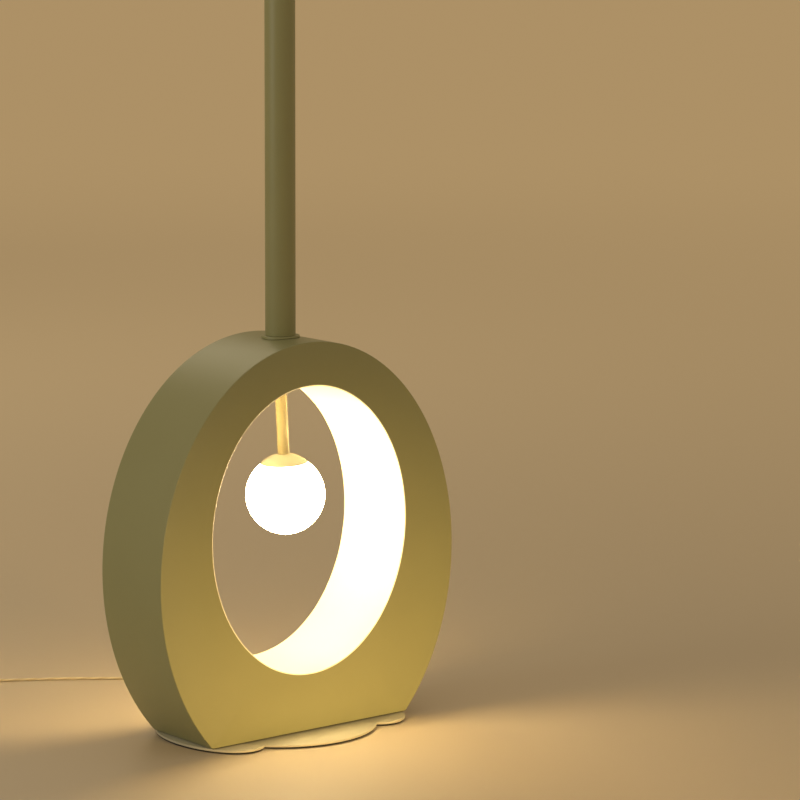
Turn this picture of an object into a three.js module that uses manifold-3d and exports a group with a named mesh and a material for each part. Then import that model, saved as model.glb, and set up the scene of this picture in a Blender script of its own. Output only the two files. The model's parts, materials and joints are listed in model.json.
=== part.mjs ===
// Floor lamp: an upright oval ring of folded steel sheet on a thin base plate, with a small opal globe hanging
// inside the ring and a straight pole above it that carries a dome shade.
// Millimetres, +Z up. The origin lies on the floor under the pole's axis, +X runs along the ring's width, and
// the ring's front looks along -Y.
import * as THREE from 'three';
import { mergeVertices } from 'three/addons/utils/BufferGeometryUtils.js';
import Module from 'manifold-3d';

const wasm = await Module();
wasm.setup();

// Clearances
const gap = 0.3; // between pieces that touch on a curved or turned face
const boltGap = 0.3; // round a screw or threaded tube in its hole
const overrun = 2; // how far a cutter runs past what it cuts

// Round pieces
const roundSegments = 24;
const smallSegments = 12;
const holeArcSegments = 5; // half of the straight pieces in a round hole

// Base plate, its pad and the gasket under the ring
const padThickness = 2;
const padInset = 1.5;
const plateThickness = 2;
const gasketThickness = 1;
const gasketInset = 2;
const plateDiscRadius = 96;
const plateLobeHalfWidth = 42;
const plateLobeHalfDepth = 72;
const plateLobeCentre = 88;

// Screws that hold plate, gasket, foot plate and ballast together
const screwRadius = 2.4;
const screwHeadRadius = 4.75;
const screwHeadHeight = 1.6;
const screwReachIntoBallast = 12;
const screwEdgeX = 28; // from the ballast's end
const screwEdgeY = 17; // from the ballast's side

// Ring
const ringHalfWidth = 181.5;
const ringHalfHeight = 222.5;
const ringFootCut = 57; // of the oval's height, cut away for the flat foot
const ringDepth = 98;
const holeHalfWidth = 119.5;
const bridgeAboveHole = 43.5; // from the window's top to the ring's top
const bridgeBelowHole = 57.5; // from the ring's foot to the window's bottom
const faceSheet = 2;
const bandSheet = 1.5;
const ovalSegments = 32; // half of the straight pieces in a whole oval

// Inside the ring's foot
const footPlateThickness = 3;
const ballastEndGap = 23; // from the outer band, at the foot
const ballastHeight = 34;
const ballastSideGap = 2;
const ballastNotchHalfWidth = 20;
const ballastNotchDepth = 32;

// Threaded tube through the top of the ring
const nippleRadius = 6;
const nippleBore = 4;
const nippleReachIntoPole = 18;
const nippleReachIntoSocket = 3;
const wireHoleRadius = 2.5;
const upperWireHoleDrop = 14; // below the top of the spacer
const wireHoleSpacing = 12;
const spacerRadius = 11;
const collarRadius = 19;
const collarThickness = 1.8;
const nutAcrossFlats = 17;
const nutThickness = 4;

// Pole
const poleRadius = 15;
const poleWall = 1.4;
const poleSection = 520;
const footPlugHeight = 22;
const couplerFlange = 2;
const couplerSpigot = 38;
const couplerBore = 8;
const topPlugFlange = 3;
const topPlugSpigot = 20;

// Hanging rod and globe
const rodLeanDegrees = 3;
const rodRadius = 5.8;
const rodWall = 1.4;
const socketRadius = 8;
const socketHeight = 7;
const socketRodEntry = 3.5;
const socketLooseness = 0.8; // round the threaded tube, which lets the rod lean
const globeRadius = 39.4;
const globeWall = 2;
const globeDrop = 115.5; // from the window's top to the globe's centre
const globeMouthRadius = 14;
const capRimRadius = 23.5;
const capRimRise = 32.5; // above the globe's centre
const capSagitta = 9.3;
const capWall = 1.2;
const holderRadius = 10.5;
const holderBottomRise = 18;
const retainerRadius = 17;
const retainerThickness = 3;
const capsuleRadius = 8;
const capsuleLength = 40;
const arcSteps = 8;
const glassSteps = 12;
const capSteps = 6;

// Top of the lamp
const topNippleRadius = 5;
const topNippleBore = 3.5;
const topNippleReach = 14;
const saddleHalfLength = 33;
const saddleWidth = 14;
const saddleSheet = 1.5;
const saddleEarHeight = 12;
const topHolderNeckRadius = 12;
const topHolderNeckHeight = 10;
const topHolderRadius = 20;
const topHolderShoulder = 8;
const topHolderHeight = 54;
const socketDepth = 28;
const bulbBaseRadius = 13.2;
const bulbNeckRadius = 15;
const bulbNeckLength = 12;
const bulbRadius = 30;
const harpWireRadius = 2.2;
const harpHalfWidth = 41;
const harpHalfHeight = 78;
const harpSides = 6;
const harpSteps = 24;
const studDiscRadius = 6;
const studDiscThickness = 3;
const studRadius = 3;
const studLength = 20;
const shadeRadius = 200;
const shadeHeight = 150;
const shadeWall = 1.2;
const shadeSegments = 36;
const shadeSteps = 8;
const finialRadius = 9;
const finialHeight = 22;

// Wiring inside the lamp
const wireRadius = 1;
const wireSides = 5;
const supplyWireRadius = 1.4;
const blockLength = 20;
const blockDepth = 12;
const blockHeight = 14;
const blockOffset = 26; // from the pole's axis
const blockRiseFromBand = 8;

// Cord gland in the back face
const glandRise = 20; // above the floor
const glandShankRadius = 5;
const glandShankLength = 9;
const glandFlangeRadius = 7;
const glandFlangeThickness = 3;
const glandTaperRadius = 5.2;
const glandMouthRadius = 2.7;
const glandTaperLength = 27;
const glandBoreClearance = 0.35;
const glandNutAcrossFlats = 14;
const glandNutThickness = 4;

// Cord
const cordRadius = 1.5;
const cordSides = 8;

// Foot switch on the cord
const switchX = -222;
const switchY = 343;
const switchHalfLength = 38;
const switchHalfWidth = 20;
const switchCorner = 12;
const switchWall = 2;
const switchSplit = 9; // height of the joint between base and cover, where the cord runs
const switchHeight = 20;
const buttonRadius = 13;
const buttonProud = 4;
const buttonTravel = 3;
const buttonFlangeRadius = 15;
const buttonFlangeThickness = 2;
const buttonStemRadius = 3;
const buttonStemLength = 2.5;
const springRadius = 6;
const springWireRadius = 0.5;
const springTurns = 3;
const moduleLength = 24;
const moduleWidth = 18;
const moduleHeight = 5.5;
const grommetRadius = 2.9;
const grommetFlangeRadius = 4.4;
const grommetFlangeThickness = 1.5;
const grommetTaperLength = 10.5;
const grommetMouthRadius = 2.2;
const bossRadius = 4.5;
const bossX = 27;
const bossY = 11;
const caseScrewRadius = 1.4;
const caseScrewHeadRadius = 2.6;
const caseScrewHeadHeight = 1.6;
const caseScrewRecess = 4;
const caseScrewReach = 12;
const caseScrewTipGap = 1;

// Coil of the unused cord and its tie
const coilX = -283;
const coilY = 297;
const coilMeanRadius = 18;
const coilPitch = 3.55; // from turn to turn, sideways and upwards
const coilLayers = 4;
const turnsInLayer = 2.75;
const climbTurns = 0.5;
const stepsPerTurn = 24;
const coilSides = 6;
const tieThickness = 0.5;
const tieWidth = 7;
const tieSideGap = 1;

// Plug
const plugLength = 36;
const plugWidth = 35;
const plugRearWidth = 16;
const plugThickness = 13.7;
const plugShoulder = 14;
const plugBevel = 2;
const plugNeckLength = 22;
const plugNeckRadius = 4.6;
const plugNeckMouthRadius = 2.6;
const plugNeckSunk = 3;
const plugRearY = 225;
const pinRadius = 2;
const pinLength = 19;
const pinSpacing = 18.6;

// Levels worked out from the sizes above
const plateTop = padThickness + plateThickness;
const footLevel = plateTop + gasketThickness;
const ringCentreRise = ringHalfHeight - ringFootCut;
const ringCentre = footLevel + ringCentreRise;
const ringTop = ringCentre + ringHalfHeight;
const holeTop = ringTop - bridgeAboveHole;
const holeHalfHeight = (holeTop - footLevel - bridgeBelowHole) / 2;
const holeCentre = holeTop - holeHalfHeight;
const collarTop = ringTop + collarThickness;
const cavityDepth = ringDepth - 2 * faceSheet;
const cavityBack = cavityDepth / 2;
const ringBack = ringDepth / 2;

// Finishes, as the photograph shows them under its own light
const sagePaint = new THREE.MeshStandardMaterial({ color: 0x938b56, roughness: 0.45, metalness: 0 });
const paleInnerPaint = new THREE.MeshStandardMaterial({ color: 0xe9e2c4, roughness: 0.5, metalness: 0 });
const plateSage = new THREE.MeshStandardMaterial({ color: 0xa9a47c, roughness: 0.5, metalness: 0 });
const blackFoam = new THREE.MeshStandardMaterial({ color: 0x232220, roughness: 0.95, metalness: 0 });
const zincSteel = new THREE.MeshStandardMaterial({ color: 0xb4b4ae, roughness: 0.35, metalness: 1 });
const castIron = new THREE.MeshStandardMaterial({ color: 0x4a4a48, roughness: 0.8, metalness: 0.6 });
const brass = new THREE.MeshStandardMaterial({ color: 0xc9a45a, roughness: 0.3, metalness: 1 });
const rodPaint = new THREE.MeshStandardMaterial({ color: 0xb9ab72, roughness: 0.4, metalness: 0 });
const opalGlass = new THREE.MeshStandardMaterial({ color: 0xfffaf0, roughness: 0.25, metalness: 0 });
const ceramic = new THREE.MeshStandardMaterial({ color: 0xeeece4, roughness: 0.6, metalness: 0 });
const ivoryPlastic = new THREE.MeshStandardMaterial({ color: 0xe6dfcb, roughness: 0.45, metalness: 0 });
const goldenPvc = new THREE.MeshStandardMaterial({ color: 0xc9b07a, roughness: 0.3, metalness: 0 });
const wireSheath = new THREE.MeshStandardMaterial({ color: 0xd8d2c0, roughness: 0.5, metalness: 0 });
const tieBlack = new THREE.MeshStandardMaterial({ color: 0x2a2927, roughness: 0.6, metalness: 0 });

const lamp = new THREE.Group();
lamp.name = 'floor_lamp';

function v2(x, y) {
  return new THREE.Vector2(x, y);
}

function v3(x, y, z) {
  return new THREE.Vector3(x, y, z);
}

function piece(name, geometry, material, x = 0, y = 0, z = 0, parent = lamp) {
  const mesh = new THREE.Mesh(geometry, material);
  mesh.name = name;
  mesh.position.set(x, y, z);
  parent.add(mesh);
  return mesh;
}

// A turned piece about the Z axis. The profile runs up the outside and down the inside, as [radius, height].
function turned(profile, segments = roundSegments) {
  const points = profile.map(([r, z]) => v2(r, z));
  return new THREE.LatheGeometry(points, segments).rotateX(Math.PI / 2);
}

function ringSection(inner, outer, bottom, top) {
  return [[inner, bottom], [outer, bottom], [outer, top], [inner, top], [inner, bottom]];
}

function rod(radius, bottom, top, segments = smallSegments) {
  return turned([[0, bottom], [radius, bottom], [radius, top], [0, top]], segments);
}

// A flat outline in plan, from its lowest face up.
function slab(shape, thickness, segments = ovalSegments) {
  return new THREE.ExtrudeGeometry(shape, { depth: thickness, bevelEnabled: false, curveSegments: segments });
}

// An outline in the XZ plane, whose thickness runs from Y = 0 towards -Y.
function upright(shape, thickness, segments = ovalSegments) {
  return slab(shape, thickness, segments).rotateX(Math.PI / 2);
}

function manifoldOf(geometry) {
  const bare = geometry.clone();
  bare.deleteAttribute('normal');
  bare.deleteAttribute('uv');
  const merged = mergeVertices(bare);
  const vertProperties = Float32Array.from(merged.attributes.position.array);
  const triVerts = Uint32Array.from(merged.index.array);
  return new wasm.Manifold(new wasm.Mesh({ numProp: 3, vertProperties, triVerts }));
}

function geometryOf(solid) {
  const mesh = solid.getMesh();
  const geometry = new THREE.BufferGeometry();
  geometry.setAttribute('position', new THREE.BufferAttribute(mesh.vertProperties, 3));
  geometry.setIndex(new THREE.BufferAttribute(mesh.triVerts, 1));
  geometry.computeVertexNormals();
  return geometry;
}

function cut(geometry, ...cutters) {
  return geometryOf(cutters.reduce((solid, c) => solid.subtract(manifoldOf(c)), manifoldOf(geometry)));
}

function joined(geometry, ...others) {
  return geometryOf(others.reduce((solid, o) => solid.add(manifoldOf(o)), manifoldOf(geometry)));
}

// A round tube through points, with the same number of steps from each point to the next.
function tube(points, radius, sides, stepsPerSpan) {
  const curve = new THREE.CatmullRomCurve3(points, false, 'centripetal');
  curve.getUtoTmapping = (u) => u;
  return swept(curve, radius, sides, stepsPerSpan * (points.length - 1));
}

function swept(curve, radius, sides, steps) {
  const corners = Array.from({ length: sides }, (_, i) => {
    const angle = (2 * Math.PI * i) / sides;
    return v2(radius * Math.cos(angle), radius * Math.sin(angle));
  });
  return new THREE.ExtrudeGeometry(new THREE.Shape(corners), { steps, bevelEnabled: false, extrudePath: curve });
}

function hexagon(acrossFlats) {
  const corners = Array.from({ length: 6 }, (_, i) => {
    const angle = (Math.PI * i) / 3;
    const radius = acrossFlats / Math.sqrt(3);
    return v2(radius * Math.cos(angle), radius * Math.sin(angle));
  });
  return new THREE.Shape(corners);
}

function addRoundHole(shape, x, y, radius) {
  const hole = new THREE.Path();
  hole.absarc(x, y, radius, 0, 2 * Math.PI, true);
  shape.holes.push(hole);
}

// Height of an upright oval above its centre, at x from its axis.
function ovalRise(x, halfWidth, halfHeight) {
  return halfHeight * Math.sqrt(1 - (x / halfWidth) ** 2);
}

function rectangle(halfWidth, halfDepth) {
  const shape = new THREE.Shape();
  shape.moveTo(-halfWidth, -halfDepth);
  shape.lineTo(halfWidth, -halfDepth);
  shape.lineTo(halfWidth, halfDepth);
  shape.lineTo(-halfWidth, halfDepth);
  shape.closePath();
  return shape;
}

// Base plate: a disc with an oval lobe on each side, so that the edge has four cusps.
function plateOutline(inset) {
  const disc = plateDiscRadius - inset;
  const halfWidth = plateLobeHalfWidth - inset;
  const halfDepth = plateLobeHalfDepth - inset;
  const a = 1 / halfWidth ** 2 - 1 / halfDepth ** 2;
  const b = (-2 * plateLobeCentre) / halfWidth ** 2;
  const c = (plateLobeCentre / halfWidth) ** 2 + (disc / halfDepth) ** 2 - 1;
  const cuspX = (-b - Math.sqrt(b ** 2 - 4 * a * c)) / (2 * a);
  const cuspY = Math.sqrt(disc ** 2 - cuspX ** 2);
  const discAngle = Math.atan2(cuspY, cuspX);
  const lobeAngle = Math.atan2(cuspY / halfDepth, (cuspX - plateLobeCentre) / halfWidth);
  const shape = new THREE.Shape();
  shape.absellipse(plateLobeCentre, 0, halfWidth, halfDepth, -lobeAngle, lobeAngle, false, 0);
  shape.absarc(0, 0, disc, discAngle, Math.PI - discAngle, false);
  shape.absellipse(-plateLobeCentre, 0, halfWidth, halfDepth, Math.PI - lobeAngle, Math.PI + lobeAngle, false, 0);
  shape.absarc(0, 0, disc, Math.PI + discAngle, 2 * Math.PI - discAngle, false);
  shape.closePath();
  return shape;
}

const footHalfWidth = ovalRise(ringCentreRise, ringHalfHeight, ringHalfWidth);
const innerFootHalfWidth = ovalRise(ringCentreRise, ringHalfHeight - bandSheet, ringHalfWidth - bandSheet);
const ballastHalfWidth = innerFootHalfWidth - ballastEndGap;
const ballastHalfDepth = cavityBack - ballastSideGap;
const screwPlaces = [[-1, -1], [1, -1], [-1, 1], [1, 1]].map(([sx, sy]) => [
  sx * (ballastHalfWidth - screwEdgeX),
  sy * (ballastHalfDepth - screwEdgeY),
]);
const screwHole = screwRadius + boltGap;

function withScrewHoles(shape, radius = screwHole) {
  screwPlaces.forEach(([x, y]) => addRoundHole(shape, x, y, radius));
  return shape;
}

const plateArcSegments = 8;
const padShape = withScrewHoles(plateOutline(padInset), screwHeadRadius + boltGap);
piece('base_pad', slab(padShape, padThickness, plateArcSegments), blackFoam);
const plateShape = withScrewHoles(plateOutline(0));
piece('base_plate', slab(plateShape, plateThickness, plateArcSegments), plateSage, 0, 0, padThickness);

const gasketShape = rectangle(footHalfWidth - gasketInset, ringDepth / 2 - gasketInset);
const gasket = slab(withScrewHoles(gasketShape), gasketThickness, holeArcSegments);
piece('foot_gasket', gasket, blackFoam, 0, 0, plateTop);

// Screws, from under the plate up into the ballast, with their heads in the pad's holes.
const screwLength = plateThickness + gasketThickness + footPlateThickness + screwReachIntoBallast;
const screw = turned([
  [0, -screwHeadHeight],
  [screwHeadRadius, -screwHeadHeight],
  [screwHeadRadius, 0],
  [screwRadius, 0],
  [screwRadius, screwLength],
  [0, screwLength],
], smallSegments);
screwPlaces.forEach(([x, y], i) => piece(`base_screw_${i + 1}`, screw, zincSteel, x, y, padThickness));

// Ring: two face sheets with the outer and inner bands welded between them.
function ringArc(shape, inset, backwards) {
  const foot = Math.asin(-ringCentreRise / (ringHalfHeight - inset));
  const [from, to] = backwards ? [Math.PI - foot, foot] : [foot, Math.PI - foot];
  const halfWidth = ringHalfWidth - inset;
  const halfHeight = ringHalfHeight - inset;
  shape.absellipse(0, ringCentre, halfWidth, halfHeight, from, to, backwards, 0);
}

function holeOval(path, outset) {
  path.absellipse(0, holeCentre, holeHalfWidth + outset, holeHalfHeight + outset, 0, 2 * Math.PI, false, 0);
  return path;
}

function faceShape() {
  const shape = new THREE.Shape();
  ringArc(shape, 0, false);
  shape.closePath();
  shape.holes.push(holeOval(new THREE.Path(), 0));
  return shape;
}

const outerBandShape = new THREE.Shape();
ringArc(outerBandShape, 0, false);
ringArc(outerBandShape, bandSheet, true);
outerBandShape.closePath();
const innerBandShape = holeOval(new THREE.Shape(), bandSheet);
innerBandShape.holes.push(holeOval(new THREE.Path(), 0));

const nippleHole = rod(nippleRadius + boltGap, holeCentre, ringTop + overrun);
const glandHoleRadius = glandShankRadius + boltGap;
const glandHole = rod(glandHoleRadius, -faceSheet - overrun, overrun).rotateX(-Math.PI / 2);
glandHole.translate(0, 0, glandRise);
piece('ring_front_face', upright(faceShape(), faceSheet), sagePaint, 0, -cavityBack, 0);
piece('ring_back_face', cut(upright(faceShape(), faceSheet), glandHole), sagePaint, 0, ringBack, 0);
const bandHole = nippleHole.clone().translate(0, -cavityBack, 0);
piece('ring_outer_band', cut(upright(outerBandShape, cavityDepth), bandHole), sagePaint, 0, cavityBack, 0);
piece('ring_inner_band', cut(upright(innerBandShape, cavityDepth), bandHole), paleInnerPaint, 0, cavityBack, 0);

// Foot plate that closes the ring below, and the ballast that stands on it.
const footPlateShape = withScrewHoles(rectangle(innerFootHalfWidth - gap, cavityBack));
const footPlate = slab(footPlateShape, footPlateThickness, holeArcSegments);
piece('ring_foot_plate', footPlate, zincSteel, 0, 0, footLevel);

const ballastLevel = footLevel + footPlateThickness;
const ballastShape = new THREE.Shape();
ballastShape.moveTo(-ballastHalfWidth, -ballastHalfDepth);
ballastShape.lineTo(ballastHalfWidth, -ballastHalfDepth);
ballastShape.lineTo(ballastHalfWidth, ballastHalfDepth);
ballastShape.lineTo(ballastNotchHalfWidth, ballastHalfDepth);
ballastShape.lineTo(ballastNotchHalfWidth, ballastHalfDepth - ballastNotchDepth);
ballastShape.lineTo(-ballastNotchHalfWidth, ballastHalfDepth - ballastNotchDepth);
ballastShape.lineTo(-ballastNotchHalfWidth, ballastHalfDepth);
ballastShape.lineTo(-ballastHalfWidth, ballastHalfDepth);
ballastShape.closePath();
const ballast = slab(withScrewHoles(ballastShape), ballastHeight, holeArcSegments);
piece('ballast_block', ballast, castIron, 0, 0, ballastLevel);

// Threaded tube through the ring's top, with the spacer that keeps the bands apart.
const cavityCeiling = ringCentre + ovalRise(spacerRadius, ringHalfWidth - bandSheet, ringHalfHeight - bandSheet);
const cavityFloor = holeTop + bandSheet;
const spacerTop = cavityCeiling - gap;
const spacerBottom = cavityFloor + gap;
const upperWireHole = spacerTop - upperWireHoleDrop;
const lowerWireHole = upperWireHole - wireHoleSpacing;
const nutHalfCorner = nutAcrossFlats / Math.sqrt(3);
const nutTop = holeCentre + ovalRise(nutHalfCorner, holeHalfWidth, holeHalfHeight) - gap;
const nutBottom = nutTop - nutThickness;
const socketTop = nutBottom - 2 * gap;
const nippleBottom = socketTop - nippleReachIntoSocket;
const nippleTop = collarTop + nippleReachIntoPole;

function sideHole(level, radius) {
  return rod(radius, 0, spacerRadius + overrun).rotateY(Math.PI / 2).translate(0, 0, level);
}

const spacer = turned(ringSection(nippleRadius + boltGap, spacerRadius, spacerBottom, spacerTop));
const spacerHoles = [upperWireHole, lowerWireHole].map((level) => sideHole(level, wireHoleRadius + boltGap));
piece('bridge_spacer', cut(spacer, ...spacerHoles), zincSteel);
const nipple = turned(ringSection(nippleBore, nippleRadius, nippleBottom, nippleTop), smallSegments);
const nippleHoles = [upperWireHole, lowerWireHole].map((level) => sideHole(level, wireHoleRadius));
piece('through_nipple', cut(nipple, ...nippleHoles), zincSteel);

const ringSkin = new THREE.Shape();
ringSkin.absellipse(0, ringCentre, ringHalfWidth + gap, ringHalfHeight + gap, 0, 2 * Math.PI, false, 0);
const ringSkinCutter = upright(ringSkin, ringDepth).translate(0, ringBack, 0);
const collarBottom = ringCentre + ovalRise(collarRadius, ringHalfWidth, ringHalfHeight);
const collarBlank = turned(ringSection(nippleRadius + boltGap, collarRadius, collarBottom, collarTop));
piece('pole_collar', cut(collarBlank, ringSkinCutter), sagePaint);

const nutShape = hexagon(nutAcrossFlats);
addRoundHole(nutShape, 0, 0, nippleRadius + boltGap);
piece('nipple_nut', slab(nutShape, nutThickness, holeArcSegments), brass, 0, 0, nutBottom);

// Pole: two tubes on a threaded coupler, with a plug in each end.
const poleBore = poleRadius - poleWall;
const plugRadius = poleBore - gap;
const poleJoint = collarTop + poleSection;
const upperPoleFoot = poleJoint + couplerFlange;
const poleEnd = upperPoleFoot + poleSection;
const poleTop = poleEnd + topPlugFlange;
const footPlug = turned(ringSection(nippleRadius + boltGap, plugRadius, collarTop, collarTop + footPlugHeight));
piece('pole_foot_plug', footPlug, zincSteel);
piece('pole_lower', turned(ringSection(poleBore, poleRadius, collarTop, poleJoint)), sagePaint);
piece('pole_coupler', turned([
  [couplerBore, poleJoint - couplerSpigot],
  [plugRadius, poleJoint - couplerSpigot],
  [plugRadius, poleJoint],
  [poleRadius, poleJoint],
  [poleRadius, upperPoleFoot],
  [plugRadius, upperPoleFoot],
  [plugRadius, upperPoleFoot + couplerSpigot],
  [couplerBore, upperPoleFoot + couplerSpigot],
  [couplerBore, poleJoint - couplerSpigot],
]), zincSteel);
piece('pole_upper', turned(ringSection(poleBore, poleRadius, upperPoleFoot, poleEnd)), sagePaint);
const topPlugBore = topNippleRadius + boltGap;
piece('pole_top_plug', turned([
  [topPlugBore, poleEnd - topPlugSpigot],
  [plugRadius, poleEnd - topPlugSpigot],
  [plugRadius, poleEnd],
  [poleRadius, poleEnd],
  [poleRadius, poleTop],
  [topPlugBore, poleTop],
  [topPlugBore, poleEnd - topPlugSpigot],
]), sagePaint);

// Hanging globe: everything below the nut leans together, about a point in the nut.
const rodLean = THREE.MathUtils.degToRad(rodLeanDegrees);
const leanPoint = nutBottom;
const hanging = new THREE.Group();
hanging.position.set(0, 0, leanPoint);
hanging.rotation.y = -rodLean;
lamp.add(hanging);

function hang(name, geometry, material) {
  piece(name, geometry.translate(0, 0, -leanPoint), material, 0, 0, 0, hanging);
}

const rodBore = rodRadius - rodWall;
const socketBottom = socketTop - socketHeight;
const rodTop = socketBottom + socketRodEntry;
hang('rod_socket', turned([
  [rodRadius + gap, socketBottom],
  [socketRadius, socketBottom],
  [socketRadius, socketTop],
  [nippleRadius + socketLooseness, socketTop],
  [nippleRadius + socketLooseness, rodTop],
  [rodRadius + gap, rodTop],
  [rodRadius + gap, socketBottom],
]), brass);

const globeCentre = holeTop - globeDrop;
const capRadius = (capRimRadius ** 2 + capSagitta ** 2) / (2 * capSagitta);
const capArcCentre = globeCentre + capRimRise + capSagitta - capRadius;
const capTop = capArcCentre + Math.sqrt(capRadius ** 2 - rodBore ** 2);
const rodBottom = capTop + gap;
hang('hanging_rod', turned(ringSection(rodBore, rodRadius, rodBottom, rodTop)), rodPaint);

function capOutside(r) {
  return capArcCentre + Math.sqrt(capRadius ** 2 - r ** 2);
}

// The cap keeps its wall over the top and follows the globe near its rim.
function capInside(r) {
  const underCap = capArcCentre + Math.sqrt((capRadius - capWall) ** 2 - r ** 2);
  const overGlobe = globeCentre + Math.sqrt((globeRadius + gap) ** 2 - r ** 2);
  return Math.max(underCap, overGlobe);
}

function between(from, to, steps) {
  return Array.from({ length: steps + 1 }, (_, i) => from + ((to - from) * i) / steps);
}

const capInnerRim = Math.sqrt((globeRadius + gap) ** 2 - capRimRise ** 2);
const capOuterProfile = between(capRimRadius, rodBore, capSteps).map((r) => [r, capOutside(r)]);
const capInnerProfile = between(rodBore, capInnerRim, capSteps).map((r) => [r, capInside(r)]);
hang('globe_cap', turned([...capOuterProfile, ...capInnerProfile, capOuterProfile[0]]), rodPaint);

const holderTop = capInside(holderRadius) - gap;
const holderBottom = globeCentre + holderBottomRise;
hang('globe_holder', rod(holderRadius, holderBottom, holderTop, roundSegments), ceramic);

const glassInside = globeRadius - globeWall;
const retainerTop = globeCentre + Math.sqrt(glassInside ** 2 - retainerRadius ** 2) - 2 * gap;
const retainerBottom = retainerTop - retainerThickness;
const retainer = turned(ringSection(holderRadius + gap, retainerRadius, retainerBottom, retainerTop));
hang('globe_retaining_ring', retainer, ceramic);

const capsuleTop = holderBottom - gap;
const capsuleArc = between(-Math.PI / 2, 0, arcSteps / 2).map((angle) => [
  capsuleRadius * Math.cos(angle),
  capsuleTop - capsuleLength + capsuleRadius * (1 + Math.sin(angle)),
]);
capsuleArc[0][0] = 0;
hang('globe_bulb', turned([...capsuleArc, [capsuleRadius, capsuleTop], [0, capsuleTop]], smallSegments), opalGlass);

function sphereArc(radius, mouth, steps) {
  const mouthAngle = Math.acos(mouth / radius);
  return between(-Math.PI / 2, mouthAngle, steps).map((angle, i) => [
    i === 0 ? 0 : radius * Math.cos(angle),
    globeCentre + radius * Math.sin(angle),
  ]);
}

const glassOuter = sphereArc(globeRadius, globeMouthRadius, glassSteps);
const glassInner = sphereArc(glassInside, globeMouthRadius, glassSteps).reverse();
hang('globe_glass', turned([...glassOuter, ...glassInner], roundSegments), opalGlass);

// Top of the pole: lamp holder on a saddle, bulb, harp, and the dome shade clamped on the harp's stud.
const saddleTop = poleTop + saddleSheet;
const saddleOutline = new THREE.Shape();
saddleOutline.moveTo(-saddleHalfLength, poleTop);
saddleOutline.lineTo(saddleHalfLength, poleTop);
saddleOutline.lineTo(saddleHalfLength, poleTop + saddleEarHeight);
saddleOutline.lineTo(saddleHalfLength - saddleSheet, poleTop + saddleEarHeight);
saddleOutline.lineTo(saddleHalfLength - saddleSheet, saddleTop);
saddleOutline.lineTo(-saddleHalfLength + saddleSheet, saddleTop);
saddleOutline.lineTo(-saddleHalfLength + saddleSheet, poleTop + saddleEarHeight);
saddleOutline.lineTo(-saddleHalfLength, poleTop + saddleEarHeight);
saddleOutline.closePath();
const saddleBlank = upright(saddleOutline, saddleWidth).translate(0, saddleWidth / 2, 0);
const saddleHole = rod(topPlugBore, poleTop - overrun, saddleTop + overrun);
piece('harp_saddle', cut(saddleBlank, saddleHole), brass);

const topNippleBottom = poleTop - topNippleReach;
const topNippleTop = saddleTop + topNippleReach;
const topNipple = turned(ringSection(topNippleBore, topNippleRadius, topNippleBottom, topNippleTop), smallSegments);
piece('holder_nipple', topNipple, zincSteel);

const topHolderEnd = saddleTop + topHolderHeight;
const socketFloor = topHolderEnd - socketDepth;
const neckTop = saddleTop + topHolderNeckHeight;
piece('top_holder', turned([
  [topPlugBore, saddleTop],
  [topHolderNeckRadius, saddleTop],
  [topHolderNeckRadius, neckTop],
  [topHolderRadius, neckTop + topHolderShoulder],
  [topHolderRadius, topHolderEnd],
  [bulbBaseRadius + gap, topHolderEnd],
  [bulbBaseRadius + gap, socketFloor],
  [topPlugBore, socketFloor],
  [topPlugBore, saddleTop],
]), ceramic);

const bulbBottom = socketFloor + gap;
const bulbNeckFoot = topHolderEnd + gap;
const bulbNeckTop = bulbNeckFoot + bulbNeckLength;
const bulbCentre = bulbNeckTop + Math.sqrt(bulbRadius ** 2 - bulbNeckRadius ** 2);
const bulbArc = between(-Math.acos(bulbNeckRadius / bulbRadius), Math.PI / 2, arcSteps).map((angle, i) => [
  i === arcSteps ? 0 : bulbRadius * Math.cos(angle),
  bulbCentre + bulbRadius * Math.sin(angle),
]);
piece('top_bulb', turned([
  [0, bulbBottom],
  [bulbBaseRadius, bulbBottom],
  [bulbBaseRadius, bulbNeckFoot],
  ...bulbArc,
]), opalGlass);

// The harp is an oval wire loop, open below where its two feet stand on the saddle's ears.
const harpFootX = saddleHalfLength - saddleSheet / 2;
const harpFootAngle = Math.acos(harpFootX / harpHalfWidth);
const harpFootSlope = (harpHalfWidth * Math.sin(harpFootAngle)) / (harpHalfHeight * Math.cos(harpFootAngle));
const harpFootZ = poleTop + saddleEarHeight + gap + (saddleSheet / 2) * harpFootSlope;
const harpCentre = harpFootZ + harpHalfHeight * Math.sin(harpFootAngle);
class HarpLine extends THREE.Curve {
  getPoint(t, target = v3(0, 0, 0)) {
    const angle = -harpFootAngle + t * (Math.PI + 2 * harpFootAngle);
    const z = harpCentre + harpHalfHeight * Math.sin(angle);
    return target.set(harpHalfWidth * Math.cos(angle), 0, z);
  }
}
piece('shade_harp', swept(new HarpLine(), harpWireRadius, harpSides, harpSteps), brass);

const harpTop = harpCentre + harpHalfHeight + harpWireRadius;
const studDiscBottom = harpTop + gap;
const studDiscTop = studDiscBottom + studDiscThickness;
piece('harp_stud', turned([
  [0, studDiscBottom],
  [studDiscRadius, studDiscBottom],
  [studDiscRadius, studDiscTop],
  [studRadius, studDiscTop],
  [studRadius, studDiscTop + studLength],
  [0, studDiscTop + studLength],
], smallSegments), brass);

const studHole = studRadius + boltGap;
const shadeRim = studDiscTop + gap - ovalRise(studHole, shadeRadius - shadeWall, shadeHeight - shadeWall);
const shadeTop = shadeRim + shadeHeight;

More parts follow.
